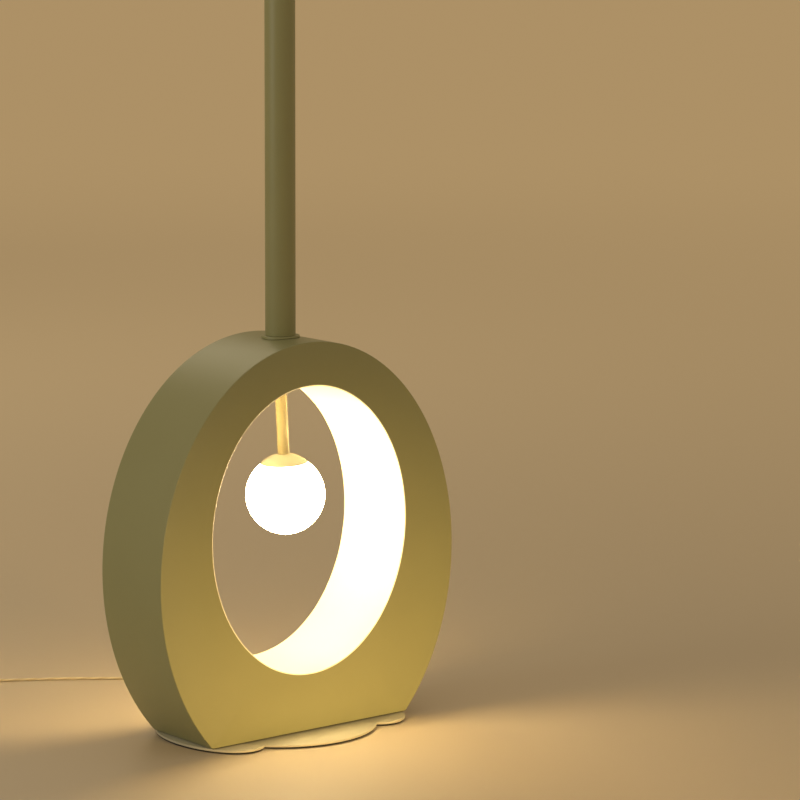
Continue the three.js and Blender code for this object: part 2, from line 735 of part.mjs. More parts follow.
function shadeArc(inset, backwards) {
  const halfWidth = shadeRadius - inset;
  const halfHeight = shadeHeight - inset;
  const last = Math.acos(studHole / halfWidth);
  const angles = between(0, last, shadeSteps);
  if (backwards) angles.reverse();
  return angles.map((angle) => [halfWidth * Math.cos(angle), shadeRim + halfHeight * Math.sin(angle)]);
}

const shadeOuter = shadeArc(0, false);
const shadeProfile = [...shadeOuter, ...shadeArc(shadeWall, true), shadeOuter[0]];
piece('shade_dome', turned(shadeProfile, shadeSegments), sagePaint);

const finialBottom = shadeTop + gap;
const finialShares = [[0.55, 0], [0.55, 0.2], [1, 0.45], [1, 0.75], [0.6, 1], [0, 1]];
const finialBoreTop = studDiscTop + studLength + gap;
piece('shade_finial', turned([
  [studHole, finialBottom],
  ...finialShares.map(([r, h]) => [r * finialRadius, finialBottom + h * finialHeight]),
  [0, finialBoreTop],
  [studHole, finialBoreTop],
  [studHole, finialBottom],
], smallSegments), brass);

// Terminal block on the back sheet, high in the ring's cavity, and the wires that meet there.
const blockBottom = cavityFloor + blockRiseFromBand;
const blockMiddle = blockOffset + blockLength / 2;
const blockY = cavityBack - blockDepth / 2;
const block = new THREE.BoxGeometry(blockLength, blockDepth, blockHeight);
piece('terminal_block', block, ceramic, blockMiddle, blockY, blockBottom + blockHeight / 2);

// Cord gland: a threaded shank through the back sheet, a flange outside and a tapered strain relief.
const glandBore = cordRadius + glandBoreClearance;
const glandLength = glandFlangeThickness + glandTaperLength;
const glandBody = turned([
  [glandBore, -faceSheet - glandShankLength],
  [glandShankRadius, -faceSheet - glandShankLength],
  [glandShankRadius, 0],
  [glandFlangeRadius, 0],
  [glandFlangeRadius, glandFlangeThickness],
  [glandTaperRadius, glandFlangeThickness],
  [glandMouthRadius, glandLength],
  [glandBore, glandLength],
  [glandBore, -faceSheet - glandShankLength],
], smallSegments);
piece('cord_gland', glandBody.rotateX(-Math.PI / 2), ivoryPlastic, 0, ringBack, glandRise);
const glandNutShape = hexagon(glandNutAcrossFlats);
addRoundHole(glandNutShape, 0, 0, glandShankRadius + boltGap);
const glandNut = upright(glandNutShape, glandNutThickness, holeArcSegments);
piece('gland_nut', glandNut, ivoryPlastic, 0, cavityBack, glandRise);

// Supply wire: from the gland over the ballast, up the ring's right side and into the terminal block.
const wireLane = cavityBack - blockDepth;
const laneHalfWidth = (ringHalfWidth + holeHalfWidth) / 2;
const laneHalfHeight = (ringHalfHeight + holeHalfHeight) / 2;
const laneCentre = (ringCentre + holeCentre) / 2;

function lanePoint(degrees) {
  const angle = THREE.MathUtils.degToRad(degrees);
  return v3(laneHalfWidth * Math.cos(angle), wireLane, laneCentre + laneHalfHeight * Math.sin(angle));
}

const overBallast = ballastLevel + ballastHeight + 3 * supplyWireRadius;
const glandMouthY = ringBack + glandLength;
const shankEnd = cavityBack - glandShankLength;
const blockInY = blockY;
const blockInZ = blockBottom + blockHeight / 2;
piece('supply_wire', tube([
  v3(0, glandMouthY - gap, glandRise),
  v3(0, ringBack, glandRise),
  v3(0, shankEnd, glandRise),
  v3(0, wireLane - ballastNotchDepth / 4, glandRise + 2 * glandShankRadius),
  v3(ballastNotchHalfWidth / 2, wireLane - ballastNotchDepth / 4, overBallast),
  v3(ballastHalfWidth / 2, wireLane, overBallast),
  v3(ballastHalfWidth, wireLane, overBallast + ballastHeight / 3),
  lanePoint(-34),
  lanePoint(-20),
  lanePoint(-5),
  lanePoint(10),
  lanePoint(25),
  lanePoint(40),
  lanePoint(54),
  v3(blockOffset + blockLength + blockDepth, wireLane, blockInZ),
  v3(blockOffset + blockLength + blockDepth / 3, blockInY, blockInZ),
  v3(blockOffset + blockLength + gap, blockInY, blockInZ),
], supplyWireRadius, wireSides, 2), wireSheath);

const wireOutX = blockOffset - gap;
const upperWireZ = blockBottom + (blockHeight * 3) / 4;
const lowerWireZ = blockBottom + blockHeight / 4;

function wireIntoNipple(startZ, level) {
  return [
    v3(wireOutX, blockInY, startZ),
    v3(wireOutX - 2 * wireRadius, blockInY, startZ),
    v3(wireOutX - blockDepth / 4, blockInY - blockDepth / 3, (startZ + level) / 2),
    v3(spacerRadius + blockDepth / 3, blockDepth / 2, level),
    v3(spacerRadius, 0, level),
    v3(nippleRadius, 0, level),
  ];
}

const holderWireEnd = saddleTop + topHolderNeckHeight;
piece('pole_wire', tube([
  ...wireIntoNipple(upperWireZ, upperWireHole),
  v3(nippleBore / 2, 0, upperWireHole + wireRadius),
  v3(0, 0, upperWireHole + nippleBore),
  v3(0, 0, nippleTop),
  v3(0, 0, poleJoint),
  v3(0, 0, holderWireEnd),
], wireRadius, wireSides, 3), wireSheath);

// A point on the leaning rod's axis, at a height measured along the upright rod.
function leaning(z) {
  const drop = leanPoint - z;
  return v3(drop * Math.sin(rodLean), 0, leanPoint - drop * Math.cos(rodLean));
}

piece('rod_wire', tube([
  ...wireIntoNipple(lowerWireZ, lowerWireHole),
  v3(nippleBore / 2, 0, lowerWireHole - wireRadius),
  v3(0, 0, lowerWireHole - nippleBore),
  v3(0, 0, leanPoint),
  leaning(nippleBottom),
  leaning(rodTop - socketRodEntry),
  leaning(rodBottom),
  leaning(holderTop + gap),
], wireRadius, wireSides, 3), wireSheath);

// Foot switch: base and cover shells with the button, its spring and the contact module between them.
const switchGroup = new THREE.Group();
switchGroup.position.set(switchX, switchY, 0);
lamp.add(switchGroup);

function switchPiece(name, geometry, material, x = 0, y = 0, z = 0) {
  return piece(name, geometry, material, x, y, z, switchGroup);
}

function switchOutline(inset) {
  const shape = new THREE.Shape();
  const x = switchHalfLength - switchCorner;
  const y = switchHalfWidth - switchCorner;
  const r = switchCorner - inset;
  const quarter = Math.PI / 2;
  shape.absarc(x, y, r, 0, quarter, false);
  shape.absarc(-x, y, r, quarter, 2 * quarter, false);
  shape.absarc(-x, -y, r, 2 * quarter, 3 * quarter, false);
  shape.absarc(x, -y, r, 3 * quarter, 4 * quarter, false);
  shape.closePath();
  return shape;
}

const cornerSegments = 3;

function switchSlab(inset, bottom, top) {
  return slab(switchOutline(inset), top - bottom, cornerSegments).translate(0, 0, bottom);
}

const bossPlaces = [[bossX, bossY], [-bossX, -bossY]];

function bosses(radius, bottom, top) {
  return bossPlaces.map(([x, y]) => rod(radius, bottom, top).translate(x, y, 0));
}

const grommetHole = rod(grommetRadius + gap, -switchHalfLength - overrun, switchHalfLength + overrun);
grommetHole.rotateY(Math.PI / 2).translate(0, 0, switchSplit);
const screwPilot = caseScrewRadius + boltGap;
const shellTopInside = switchHeight - switchWall;
const baseTray = cut(switchSlab(0, 0, switchSplit), switchSlab(switchWall, switchWall, switchSplit + overrun));
const baseShell = joined(baseTray, ...bosses(bossRadius, switchWall / 2, switchSplit));
const baseHoles = [
  ...bosses(screwPilot, -overrun, switchSplit + overrun),
  ...bosses(caseScrewHeadRadius + boltGap, -overrun, caseScrewRecess),
];
switchPiece('switch_base', cut(baseShell, grommetHole, ...baseHoles), ivoryPlastic);
const coverBox = switchSlab(0, switchSplit, switchHeight);
const coverTray = cut(coverBox, switchSlab(switchWall, switchSplit - overrun, shellTopInside));
const coverShell = joined(coverTray, ...bosses(bossRadius, switchSplit, shellTopInside + switchWall / 2));
const coverHoles = bosses(screwPilot, switchSplit - overrun, caseScrewRecess + caseScrewReach);
const buttonHole = rod(buttonRadius + gap, shellTopInside - overrun, switchHeight + overrun, roundSegments);
switchPiece('switch_cover', cut(coverShell, grommetHole, buttonHole, ...coverHoles), ivoryPlastic);

const buttonFlangeTop = shellTopInside - gap;
const buttonFlangeBottom = buttonFlangeTop - buttonFlangeThickness;
const buttonTop = switchHeight + buttonProud;
const buttonStemEnd = buttonFlangeBottom - buttonStemLength;
const buttonEdgeRadius = buttonProud / 2;
switchPiece('switch_button', turned([
  [0, buttonStemEnd],
  [buttonStemRadius, buttonStemEnd],
  [buttonStemRadius, buttonFlangeBottom],
  [buttonFlangeRadius, buttonFlangeBottom],
  [buttonFlangeRadius, buttonFlangeTop],
  [buttonRadius, buttonFlangeTop],
  [buttonRadius, buttonTop - buttonEdgeRadius],
  [buttonRadius - buttonEdgeRadius, buttonTop],
  [0, buttonTop],
]), ivoryPlastic);

const moduleTop = switchWall + moduleHeight;
if (buttonStemEnd - buttonTravel < moduleTop) console.log('the pressed button reaches the contact module');
const module = new THREE.BoxGeometry(moduleLength, moduleWidth, moduleHeight);
switchPiece('switch_module', module, ceramic, 0, 0, switchWall + moduleHeight / 2);

const springBottom = moduleTop + gap + springWireRadius;
const springTop = buttonFlangeBottom - gap - springWireRadius;
class SpringLine extends THREE.Curve {
  getPoint(t, target = v3(0, 0, 0)) {
    const angle = 2 * Math.PI * springTurns * t;
    const z = springBottom + (springTop - springBottom) * t;
    return target.set(springRadius * Math.cos(angle), springRadius * Math.sin(angle), z);
  }
}
const springSteps = 8 * springTurns;
const springSides = 5;
switchPiece('switch_spring', swept(new SpringLine(), springWireRadius, springSides, springSteps), zincSteel);

// Grommets that grip the cord in the switch's two ends.
const grommetBore = cordRadius + gap;
const grommetProfile = [
  [grommetBore, -2 * switchWall],
  [grommetRadius, -2 * switchWall],
  [grommetRadius, 0],
  [grommetFlangeRadius, 0],
  [grommetFlangeRadius, grommetFlangeThickness],
  [grommetMouthRadius, grommetFlangeThickness + grommetTaperLength],
  [grommetBore, grommetFlangeThickness + grommetTaperLength],
  [grommetBore, -2 * switchWall],
];
[1, -1].forEach((side, i) => {
  const grommet = turned(grommetProfile, smallSegments).rotateY((side * Math.PI) / 2);
  const place = side * (switchHalfLength + gap);
  switchPiece(`switch_grommet_${i + 1}`, grommet, ivoryPlastic, place, 0, switchSplit);
});

const caseScrewTop = caseScrewRecess + caseScrewReach - caseScrewTipGap;
const caseScrew = turned([
  [0, caseScrewRecess - caseScrewHeadHeight],
  [caseScrewHeadRadius, caseScrewRecess - caseScrewHeadHeight],
  [caseScrewHeadRadius, caseScrewRecess],
  [caseScrewRadius, caseScrewRecess],
  [caseScrewRadius, caseScrewTop],
  [0, caseScrewTop],
], smallSegments);
bossPlaces.forEach(([x, y], i) => switchPiece(`switch_screw_${i + 1}`, caseScrew, zincSteel, x, y, 0));

// Coil: the turns spiral in and out again in four layers, and climb a layer in the half turn where they reverse.
const coilTurns = coilLayers * turnsInLayer;
const coilOuter = coilMeanRadius + (coilPitch * turnsInLayer) / 2;
const coilInner = coilMeanRadius - (coilPitch * turnsInLayer) / 2;
const coilFoot = cordRadius + tieThickness + gap;
const coilX0 = coilX - coilOuter;
const coilTop = coilFoot + (coilLayers - 1) * coilPitch;
const leadIn = 2 * cordRadius; // straight piece at each end of the coil

function coilPoint(turn) {
  const along = turn / turnsInLayer;
  const layer = Math.min(Math.floor(along), coilLayers - 1);
  const share = along - layer;
  const inward = layer % 2 === 0 ? share : 1 - share;
  const radius = coilOuter - (coilOuter - coilInner) * inward;
  let height = 0;
  for (let k = 1; k < coilLayers; k += 1) {
    const climb = (turn - k * turnsInLayer) / climbTurns + 0.5;
    const clamped = Math.min(Math.max(climb, 0), 1);
    height += coilPitch * clamped * clamped * (3 - 2 * clamped);
  }
  const angle = Math.PI + 2 * Math.PI * turn;
  return v3(coilX + radius * Math.cos(angle), coilY + radius * Math.sin(angle), coilFoot + height);
}

const coilPoints = [v3(coilX0, coilY + leadIn, coilFoot)];
for (let i = 0; i <= coilTurns * stepsPerTurn; i += 1) coilPoints.push(coilPoint(i / stepsPerTurn));
coilPoints.push(v3(coilX0, coilY - leadIn, coilTop));

function leastGap(points, thickness, skip) {
  let least = Infinity;
  for (let i = 0; i < points.length; i += 1) {
    for (let j = i + skip; j < points.length; j += 1) least = Math.min(least, points[i].distanceTo(points[j]));
  }
  return least - thickness;
}

const coilGap = leastGap(coilPoints, 2 * cordRadius, stepsPerTurn / 2);
console.log(`least gap of the coil to itself: ${coilGap.toFixed(2)} mm`);
piece('cord_coil', tube(coilPoints, cordRadius, coilSides, 1), goldenPvc);

// The free stretches of the cord, as hand-chosen points on its centreline.
const mouthRight = switchX + switchHalfLength + gap + grommetFlangeThickness + grommetTaperLength + gap;
const mouthLeft = 2 * switchX - mouthRight;
const leadFromLamp = [
  [0, glandMouthY + gap, glandRise],
  [0, 89, 19.6],
  [0, 103, 16.8],
  [1, 119, 11],
  [2.5, 136, 5.2],
  [4.5, 154, 2.3],
  [6, 171, 1.6],
  [6.8, 189, cordRadius],
  [6.2, 206, cordRadius],
  [3, 222.5, cordRadius],
  [-4.6, 240.5, cordRadius],
  [-17.5, 256, cordRadius],
  [-36.3, 271, cordRadius],
  [-56.3, 286, cordRadius],
  [-77, 300.1, cordRadius],
  [-97.8, 313.4, cordRadius],
  [-116, 323.8, 1.65],
  [-133, 332.6, 2.6],
  [-149, 339.3, 5.8],
  [-161.5, 342.5, 8.4],
  [mouthRight, switchY, switchSplit],
];
const leadFromSwitch = [
  [mouthLeft, switchY, switchSplit],
  [-280, 342.6, 8.5],
  [-290, 339, 6.9],
  [-299, 332, 5],
  [-304.5, 322, 3.2],
  [coilX0, 311, coilFoot],
  [coilX0, coilY + leadIn + gap, coilFoot],
];
const plugMouth = plugRearY + plugNeckLength;
const leadToPlug = [
  [coilX0, coilY - leadIn - gap, coilTop],
  [coilX0, 284, 12.4],
  [coilX0, 273, 10.7],
  [coilX0, 261, 8.3],
  [coilX0, 254, 7.2],
  [coilX0, plugMouth + gap, plugThickness / 2],
];

function lead(name, points, stepsPerSpan) {
  const places = points.map(([x, y, z]) => v3(x, y, z));
  piece(name, tube(places, cordRadius, cordSides, stepsPerSpan), goldenPvc);
  return new THREE.CatmullRomCurve3(places, false, 'centripetal').getLength();
}

const lengths = [lead('cord_lead_lamp', leadFromLamp, 2), lead('cord_lead_switch', leadFromSwitch, 2)];
lengths.push(lead('cord_lead_plug', leadToPlug, 2));
lengths.push(new THREE.CatmullRomCurve3(coilPoints, false, 'centripetal').getLength());
console.log(`cord stretches: ${lengths.map((l) => l.toFixed(0)).join(', ')} mm`);

// Tie round the coil's bundle of turns, opposite its ends.
const tieInner = coilInner - cordRadius - tieSideGap;
const tieOuter = coilOuter + cordRadius + tieSideGap;
const tieTop = coilTop + cordRadius + gap;
const tieShape = new THREE.Shape();
tieShape.moveTo(tieInner - tieThickness, 0);
tieShape.lineTo(tieOuter + tieThickness, 0);
tieShape.lineTo(tieOuter + tieThickness, tieTop + tieThickness);
tieShape.lineTo(tieInner - tieThickness, tieTop + tieThickness);
tieShape.closePath();
const tieHole = new THREE.Path();
tieHole.moveTo(tieInner, tieThickness);
tieHole.lineTo(tieInner, tieTop);
tieHole.lineTo(tieOuter, tieTop);
tieHole.lineTo(tieOuter, tieThickness);
tieHole.closePath();
tieShape.holes.push(tieHole);
piece('cord_tie', upright(tieShape, tieWidth), tieBlack, coilX, coilY + tieWidth / 2, 0);

// Plug: flat body with a bevelled edge, a tapered neck behind and two pins in front.
const plugX = coilX0;
const plugShape = new THREE.Shape();
const plugFlank = plugWidth / 2 - plugBevel;
const plugRearFlank = plugRearWidth / 2 - plugBevel;
const plugFront = -plugLength + plugBevel;
plugShape.moveTo(-plugRearFlank, -plugBevel);
plugShape.lineTo(-plugFlank, -plugShoulder);
plugShape.lineTo(-plugFlank, plugFront);
plugShape.lineTo(plugFlank, plugFront);
plugShape.lineTo(plugFlank, -plugShoulder);
plugShape.lineTo(plugRearFlank, -plugBevel);
plugShape.closePath();
const plugBlock = new THREE.ExtrudeGeometry(plugShape, {
  depth: plugThickness - 2 * plugBevel,
  bevelThickness: plugBevel,
  bevelSize: plugBevel,
  bevelSegments: 2,
}).translate(0, 0, plugBevel);
const plugNeck = turned([
  [0, -plugNeckSunk],
  [plugNeckRadius, -plugNeckSunk],
  [plugNeckRadius, 0],
  [plugNeckMouthRadius, plugNeckLength],
  [0, plugNeckLength],
], smallSegments).rotateX(-Math.PI / 2).translate(0, 0, plugThickness / 2);
piece('plug_body', joined(plugBlock, plugNeck), ivoryPlastic, plugX, plugRearY, 0);
const pin = rod(pinRadius, gap, gap + pinLength).rotateX(Math.PI / 2);
[-1, 1].forEach((side, i) => {
  const pinX = plugX + (side * pinSpacing) / 2;
  piece(`plug_pin_${i + 1}`, pin, brass, pinX, plugRearY - plugLength, plugThickness / 2);
});

export default lamp;
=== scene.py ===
# A floor lamp: an upright oval ring of painted sheet steel on a thin lobed plate, a small opal globe
# hanging in the ring, and a straight pole with a dome shade. Metres, +Z up, in the frame of the packed
# model.
import json
import math
import bmesh
import bpy
from mathutils import Matrix, Vector


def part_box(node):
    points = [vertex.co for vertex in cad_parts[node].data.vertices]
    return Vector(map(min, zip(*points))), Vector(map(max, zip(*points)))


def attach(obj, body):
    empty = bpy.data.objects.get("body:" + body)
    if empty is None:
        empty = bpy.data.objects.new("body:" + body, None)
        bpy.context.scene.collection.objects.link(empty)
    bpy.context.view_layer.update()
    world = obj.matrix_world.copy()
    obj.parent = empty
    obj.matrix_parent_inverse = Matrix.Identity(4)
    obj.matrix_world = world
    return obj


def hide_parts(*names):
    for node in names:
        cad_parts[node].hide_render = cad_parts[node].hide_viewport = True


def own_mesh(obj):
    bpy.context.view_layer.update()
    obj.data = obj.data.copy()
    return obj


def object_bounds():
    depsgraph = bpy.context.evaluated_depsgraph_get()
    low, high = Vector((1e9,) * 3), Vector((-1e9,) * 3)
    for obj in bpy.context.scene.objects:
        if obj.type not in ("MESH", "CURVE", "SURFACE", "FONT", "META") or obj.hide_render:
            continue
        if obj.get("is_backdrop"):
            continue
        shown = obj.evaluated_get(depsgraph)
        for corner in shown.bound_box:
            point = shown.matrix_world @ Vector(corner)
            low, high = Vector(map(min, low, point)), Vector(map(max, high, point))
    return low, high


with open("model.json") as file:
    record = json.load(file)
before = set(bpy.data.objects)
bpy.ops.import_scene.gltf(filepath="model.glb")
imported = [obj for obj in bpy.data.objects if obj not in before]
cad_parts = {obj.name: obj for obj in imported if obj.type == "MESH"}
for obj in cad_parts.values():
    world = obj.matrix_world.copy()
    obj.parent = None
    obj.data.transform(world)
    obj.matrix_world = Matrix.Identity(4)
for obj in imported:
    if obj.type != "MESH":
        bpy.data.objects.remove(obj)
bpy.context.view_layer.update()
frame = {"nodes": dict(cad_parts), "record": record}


# The camera stands to the left of the lamp's front, a little above the ring, and looks slightly down. Its
# place comes from the outlines of the ring, the window, the foot and the pole in the photograph.
camera_place = (-2.0689, -2.7001, 0.8790)
camera_lens = 156.89
sensor_width = 36
camera_azimuth = 39.448
camera_pitch = 9.171
camera_roll = 0.201
camera_reach = 50

bpy.ops.object.camera_add(location=camera_place)
camera = bpy.context.object
camera.data.lens = camera_lens
camera.data.sensor_width = sensor_width
turn = Matrix.Rotation(math.radians(-camera_azimuth), 3, "Z")
tilt = Matrix.Rotation(math.radians(90 - camera_pitch), 3, "X")
roll = Matrix.Rotation(math.radians(camera_roll), 3, "Z")
camera.rotation_euler = (turn @ tilt @ roll).to_euler()
camera.data.clip_end = camera_reach
bpy.context.scene.camera = camera


# The mains cord: three millimetres thick, two golden strands twisted in a clear sheath. It leaves the gland
# behind the ring, lies in a loose curve on the floor and ends in the foot switch past the photograph's left
# edge.
cord_radius = 0.0015
cord_sides = 12
cord_step = 0.0022
cord_strands = 2
strand_pitch = 0.018
strand_relief = 0.00012
lamp_lead_points = [
    (0, 0.0793, 0.0200),
    (0, 0.0890, 0.0196),
    (0, 0.1030, 0.0168),
    (0.0010, 0.1190, 0.0110),
    (0.0025, 0.1360, 0.0052),
    (0.0045, 0.1540, 0.0023),
    (0.0060, 0.1710, 0.0016),
    (0.0068, 0.1890, 0.0015),
    (0.0062, 0.2060, 0.0015),
    (0.0030, 0.2225, 0.0015),
    (-0.0046, 0.2405, 0.0015),
    (-0.0175, 0.2560, 0.0015),
    (-0.0363, 0.2710, 0.0015),
    (-0.0563, 0.2860, 0.0015),
    (-0.0770, 0.3001, 0.0015),
    (-0.0978, 0.3134, 0.0015),
    (-0.1160, 0.3238, 0.00165),
    (-0.1330, 0.3326, 0.0026),
    (-0.1490, 0.3393, 0.0058),
    (-0.1615, 0.3425, 0.0084),
    (-0.1714, 0.3430, 0.0090),
    (-0.1900, 0.3430, 0.0090),
    (-0.2090, 0.3430, 0.0090),
]


def smooth_points(points, step):
    """Points a step apart on the centripetal curve through the given points."""
    places = [Vector(p) for p in points]
    places = [2 * places[0] - places[1], *places, 2 * places[-1] - places[-2]]
    line = [places[1]]
    for i in range(1, len(places) - 2):
        p0, p1, p2, p3 = places[i - 1 : i + 3]
        t1 = (p1 - p0).length ** 0.5
        t2 = t1 + (p2 - p1).length ** 0.5
        t3 = t2 + (p3 - p2).length ** 0.5
        pieces = max(1, round((p2 - p1).length / step))
        for k in range(1, pieces + 1):
            t = t1 + (t2 - t1) * k / pieces
            a1 = p0.lerp(p1, t / t1)
            a2 = p1.lerp(p2, (t - t1) / (t2 - t1))
            a3 = p2.lerp(p3, (t - t2) / (t3 - t2))
            b1 = a1.lerp(a2, t / t2)
            b2 = a2.lerp(a3, (t - t1) / (t3 - t1))
            line.append(b1.lerp(b2, (t - t1) / (t2 - t1)))
    return line


def length_of(line):
    return sum((b - a).length for a, b in zip(line, line[1:]))


def laid_tube(name, line, radius, sides):
    """A round tube along a line, with its length in metres and its turn as UV coordinates."""
    mesh = bmesh.new()
    uv = mesh.loops.layers.uv.new("along")
    aim = (line[1] - line[0]).normalized()
    side = aim.orthogonal().normalized()
    rings = []
    reach = [0.0]
    for i, place in enumerate(line):
        before = line[max(i - 1, 0)]
        after = line[min(i + 1, len(line) - 1)]
        new_aim = (after - before).normalized()
        side = aim.rotation_difference(new_aim) @ side
        aim = new_aim
        other = aim.cross(side)
        angles = [2 * math.pi * k / sides for k in range(sides)]
        spokes = [math.cos(a) * side + math.sin(a) * other for a in angles]
        rings.append([mesh.verts.new(place + radius * spoke) for spoke in spokes])
        if i:
            reach.append(reach[-1] + (place - line[i - 1]).length)
    for i in range(len(rings) - 1):
        for k in range(sides):
            n = (k + 1) % sides
            face = mesh.faces.new((rings[i][k], rings[i][n], rings[i + 1][n], rings[i + 1][k]))
            face.smooth = True
            corners = ((k, i), (k + 1, i), (k + 1, i + 1), (k, i + 1))
            for loop, (around, along) in zip(face.loops, corners):
                loop[uv].uv = (around / sides, reach[along])
    mesh.faces.new(rings[0][::-1])
    mesh.faces.new(rings[-1])
    bmesh.ops.recalc_face_normals(mesh, faces=mesh.faces)
    data = bpy.data.meshes.new(name)
    mesh.to_mesh(data)
    mesh.free()
    piece = bpy.data.objects.new(name, data)
    bpy.context.collection.objects.link(piece)
    return piece


class Wire:
    """A socket's value in a material. Sums and products of such values add Math nodes."""

    def __init__(self, finish, socket):
        self.finish = finish
        self.socket = socket

    def math(self, operation, other=0.0):
        return self.finish.node("Math", {"operation": operation}, {0: self, 1: other})

    def __add__(self, other):
        return self.math("ADD", other)

    def __mul__(self, other):
        return self.math("MULTIPLY", other)

    def __truediv__(self, other):
        return self.math("DIVIDE", other)

    __radd__ = __add__
    __rmul__ = __mul__


class Finish:
    """A material with one Principled shader, whose plain values are set on its own sockets."""

    def __init__(self, name, **plain):
        self.name = name
        self.material = bpy.data.materials.new(name + "_finish")
        self.material.use_nodes = True
        self.tree = self.material.node_tree
        self.shader = self.tree.nodes["Principled BSDF"]
        self.shader.inputs["Roughness"].default_value = 0.5
        for socket, value in plain.items():
            self.shader.inputs[socket.replace("_", " ").title()].default_value = value

    def node(self, kind, settings=None, sockets=None, output=0):
        made = self.tree.nodes.new("ShaderNode" + kind)
        for name, value in (settings or {}).items():
            setattr(made, name, value)
        for name, value in (sockets or {}).items():
            self.link(value, made.inputs[name])
        return Wire(self, made.outputs[output])

    def link(self, value, socket):
        if isinstance(value, Wire):
            self.tree.links.new(value.socket, socket)
        else:
            socket.default_value = value

    def drive(self, **changing):
        for socket, value in changing.items():
            self.link(value, self.shader.inputs[socket.replace("_", " ").title()])

    def place(self):
        return self.node("TexCoord", output=3)

    def noise(self, size, detail=2.0, stretch=(1, 1, 1)):
        scaled = self.node("Mapping", None, {"Vector": self.place(), "Scale": stretch})
        return self.node("TexNoise", None, {"Vector": scaled, "Scale": 1 / size, "Detail": detail})

    def mixed(self, factor, first, second):
        return self.node("Mix", {"data_type": "RGBA"}, {0: factor, 6: first, 7: second}, output=2)

    def bump(self, height, distance, strength=1.0):
        return self.node("Bump", None, {"Height": height, "Distance": distance, "Strength": strength})


def paint_rgb(red, green, blue):
    """A colour from its values on a screen, from 0 to 255."""
    channels = [c / 255 for c in (red, green, blue)]
    linear = [c / 12.92 if c <= 0.04045 else ((c + 0.055) / 1.055) ** 2.4 for c in channels]
    return (*linear, 1.0)


golden_cord = Finish("golden_cord", roughness=0.32, coat_weight=0.8, coat_roughness=0.12)
tube_uv = golden_cord.node("UVMap", {"uv_map": "along"})
around_cord = golden_cord.node("SeparateXYZ", None, {"Vector": tube_uv})
along_cord = golden_cord.node("SeparateXYZ", None, {"Vector": tube_uv}, output=1)
strand_turn = (around_cord * cord_strands + along_cord / strand_pitch) * (2 * math.pi)
strand = strand_turn.math("SINE") * 0.5 + 0.5
golden_cord.drive(
    base_color=golden_cord.mixed(strand, paint_rgb(204, 182, 140), paint_rgb(222, 203, 162)),
    normal=golden_cord.bump(strand, strand_relief),
)


stood_for = set()


def dressed(piece, finish, body="lamp", nodes=()):
    """Gives a piece its finish, its body and the nodes that it stands for."""
    piece.data.materials.clear()
    piece.data.materials.append(finish.material)
    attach(piece, body)
    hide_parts(*nodes)
    stood_for.update(nodes)
    return piece


lamp_lead_line = smooth_points(lamp_lead_points, cord_step)
lamp_lead = laid_tube("lamp_lead", lamp_lead_line, cord_radius, cord_sides)
dressed(lamp_lead, golden_cord, nodes=["cord_lead_lamp"])


# The spare cord past the foot switch: a short lead, eleven turns wound in four layers and held by a tie,
# and a short lead from the coil's top into the plug.
coil_centre = (-0.283, 0.297)
coil_mean_radius = 0.018
coil_pitch = 0.00355
coil_layers = 4
turns_in_layer = 2.75
climb_turns = 0.5
steps_per_turn = 40
coil_foot = 0.0023
coil_outer = coil_mean_radius + coil_pitch * turns_in_layer / 2
coil_inner = coil_mean_radius - coil_pitch * turns_in_layer / 2
coil_x = coil_centre[0] - coil_outer
coil_top = coil_foot + (coil_layers - 1) * coil_pitch
coil_lead_in = 0.003
switch_mouth_left = -0.27260
switch_y = 0.343
plug_mouth_y = 0.2473
cord_end_y = 0.2120
plug_axis_z = 0.00685


def coil_point(turn):
    """A point of the coil, which spirals in and out again and climbs where it reverses."""
    along = turn / turns_in_layer
    layer = min(int(along), coil_layers - 1)
    share = along - layer
    inward = share if layer % 2 == 0 else 1 - share
    radius = coil_outer - (coil_outer - coil_inner) * inward
    height = 0.0
    for k in range(1, coil_layers):
        climb = min(max((turn - k * turns_in_layer) / climb_turns + 0.5, 0), 1)
        height += coil_pitch * climb * climb * (3 - 2 * climb)
    angle = math.pi + 2 * math.pi * turn
    x = coil_centre[0] + radius * math.cos(angle)
    y = coil_centre[1] + radius * math.sin(angle)
    return (x, y, coil_foot + height)


spare_lead_points = [
    (-0.2350, switch_y, 0.0090),
    (switch_mouth_left, switch_y, 0.0090),
    (-0.2800, 0.3426, 0.0085),
    (-0.2900, 0.3390, 0.0069),
    (-0.2990, 0.3320, 0.0050),
    (-0.3045, 0.3220, 0.0032),
    (coil_x, 0.3110, coil_foot),
    (coil_x, coil_centre[1] + coil_lead_in, coil_foot),
]
coil_steps = round(coil_layers * turns_in_layer * steps_per_turn)
coil_points = [coil_point(i / steps_per_turn) for i in range(coil_steps + 1)]
plug_lead_points = [
    (coil_x, coil_centre[1] - coil_lead_in, coil_top),
    (coil_x, 0.2840, 0.0124),
    (coil_x, 0.2730, 0.0107),
    (coil_x, 0.2610, 0.0083),
    (coil_x, 0.2540, 0.0072),
    (coil_x, plug_mouth_y, plug_axis_z),
    (coil_x, 0.2300, plug_axis_z),
    (coil_x, cord_end_y, plug_axis_z),
]
spare_line = smooth_points(spare_lead_points + coil_points + plug_lead_points, cord_step)
spare_cord = laid_tube("spare_cord", spare_line, cord_radius, cord_sides)
dressed(spare_cord, golden_cord, nodes=["cord_lead_switch", "cord_coil", "cord_lead_plug"])


# The ring's front and back sheets: two millimetres of steel cut to an oval with a flat foot and an oval
# window that sits high in it. The front and back outlines have a softly broken edge and are painted sage.
ring_segments = 256
ring_foot_cut = 0.057
band_sheet = 0.0015
broken_edge = 0.0007
pale_rim = 0.0012
same_place = 0.00001
peel_height = 0.00003
along_x = (0, math.pi / 2, 0)
along_y = (math.pi / 2, 0, 0)

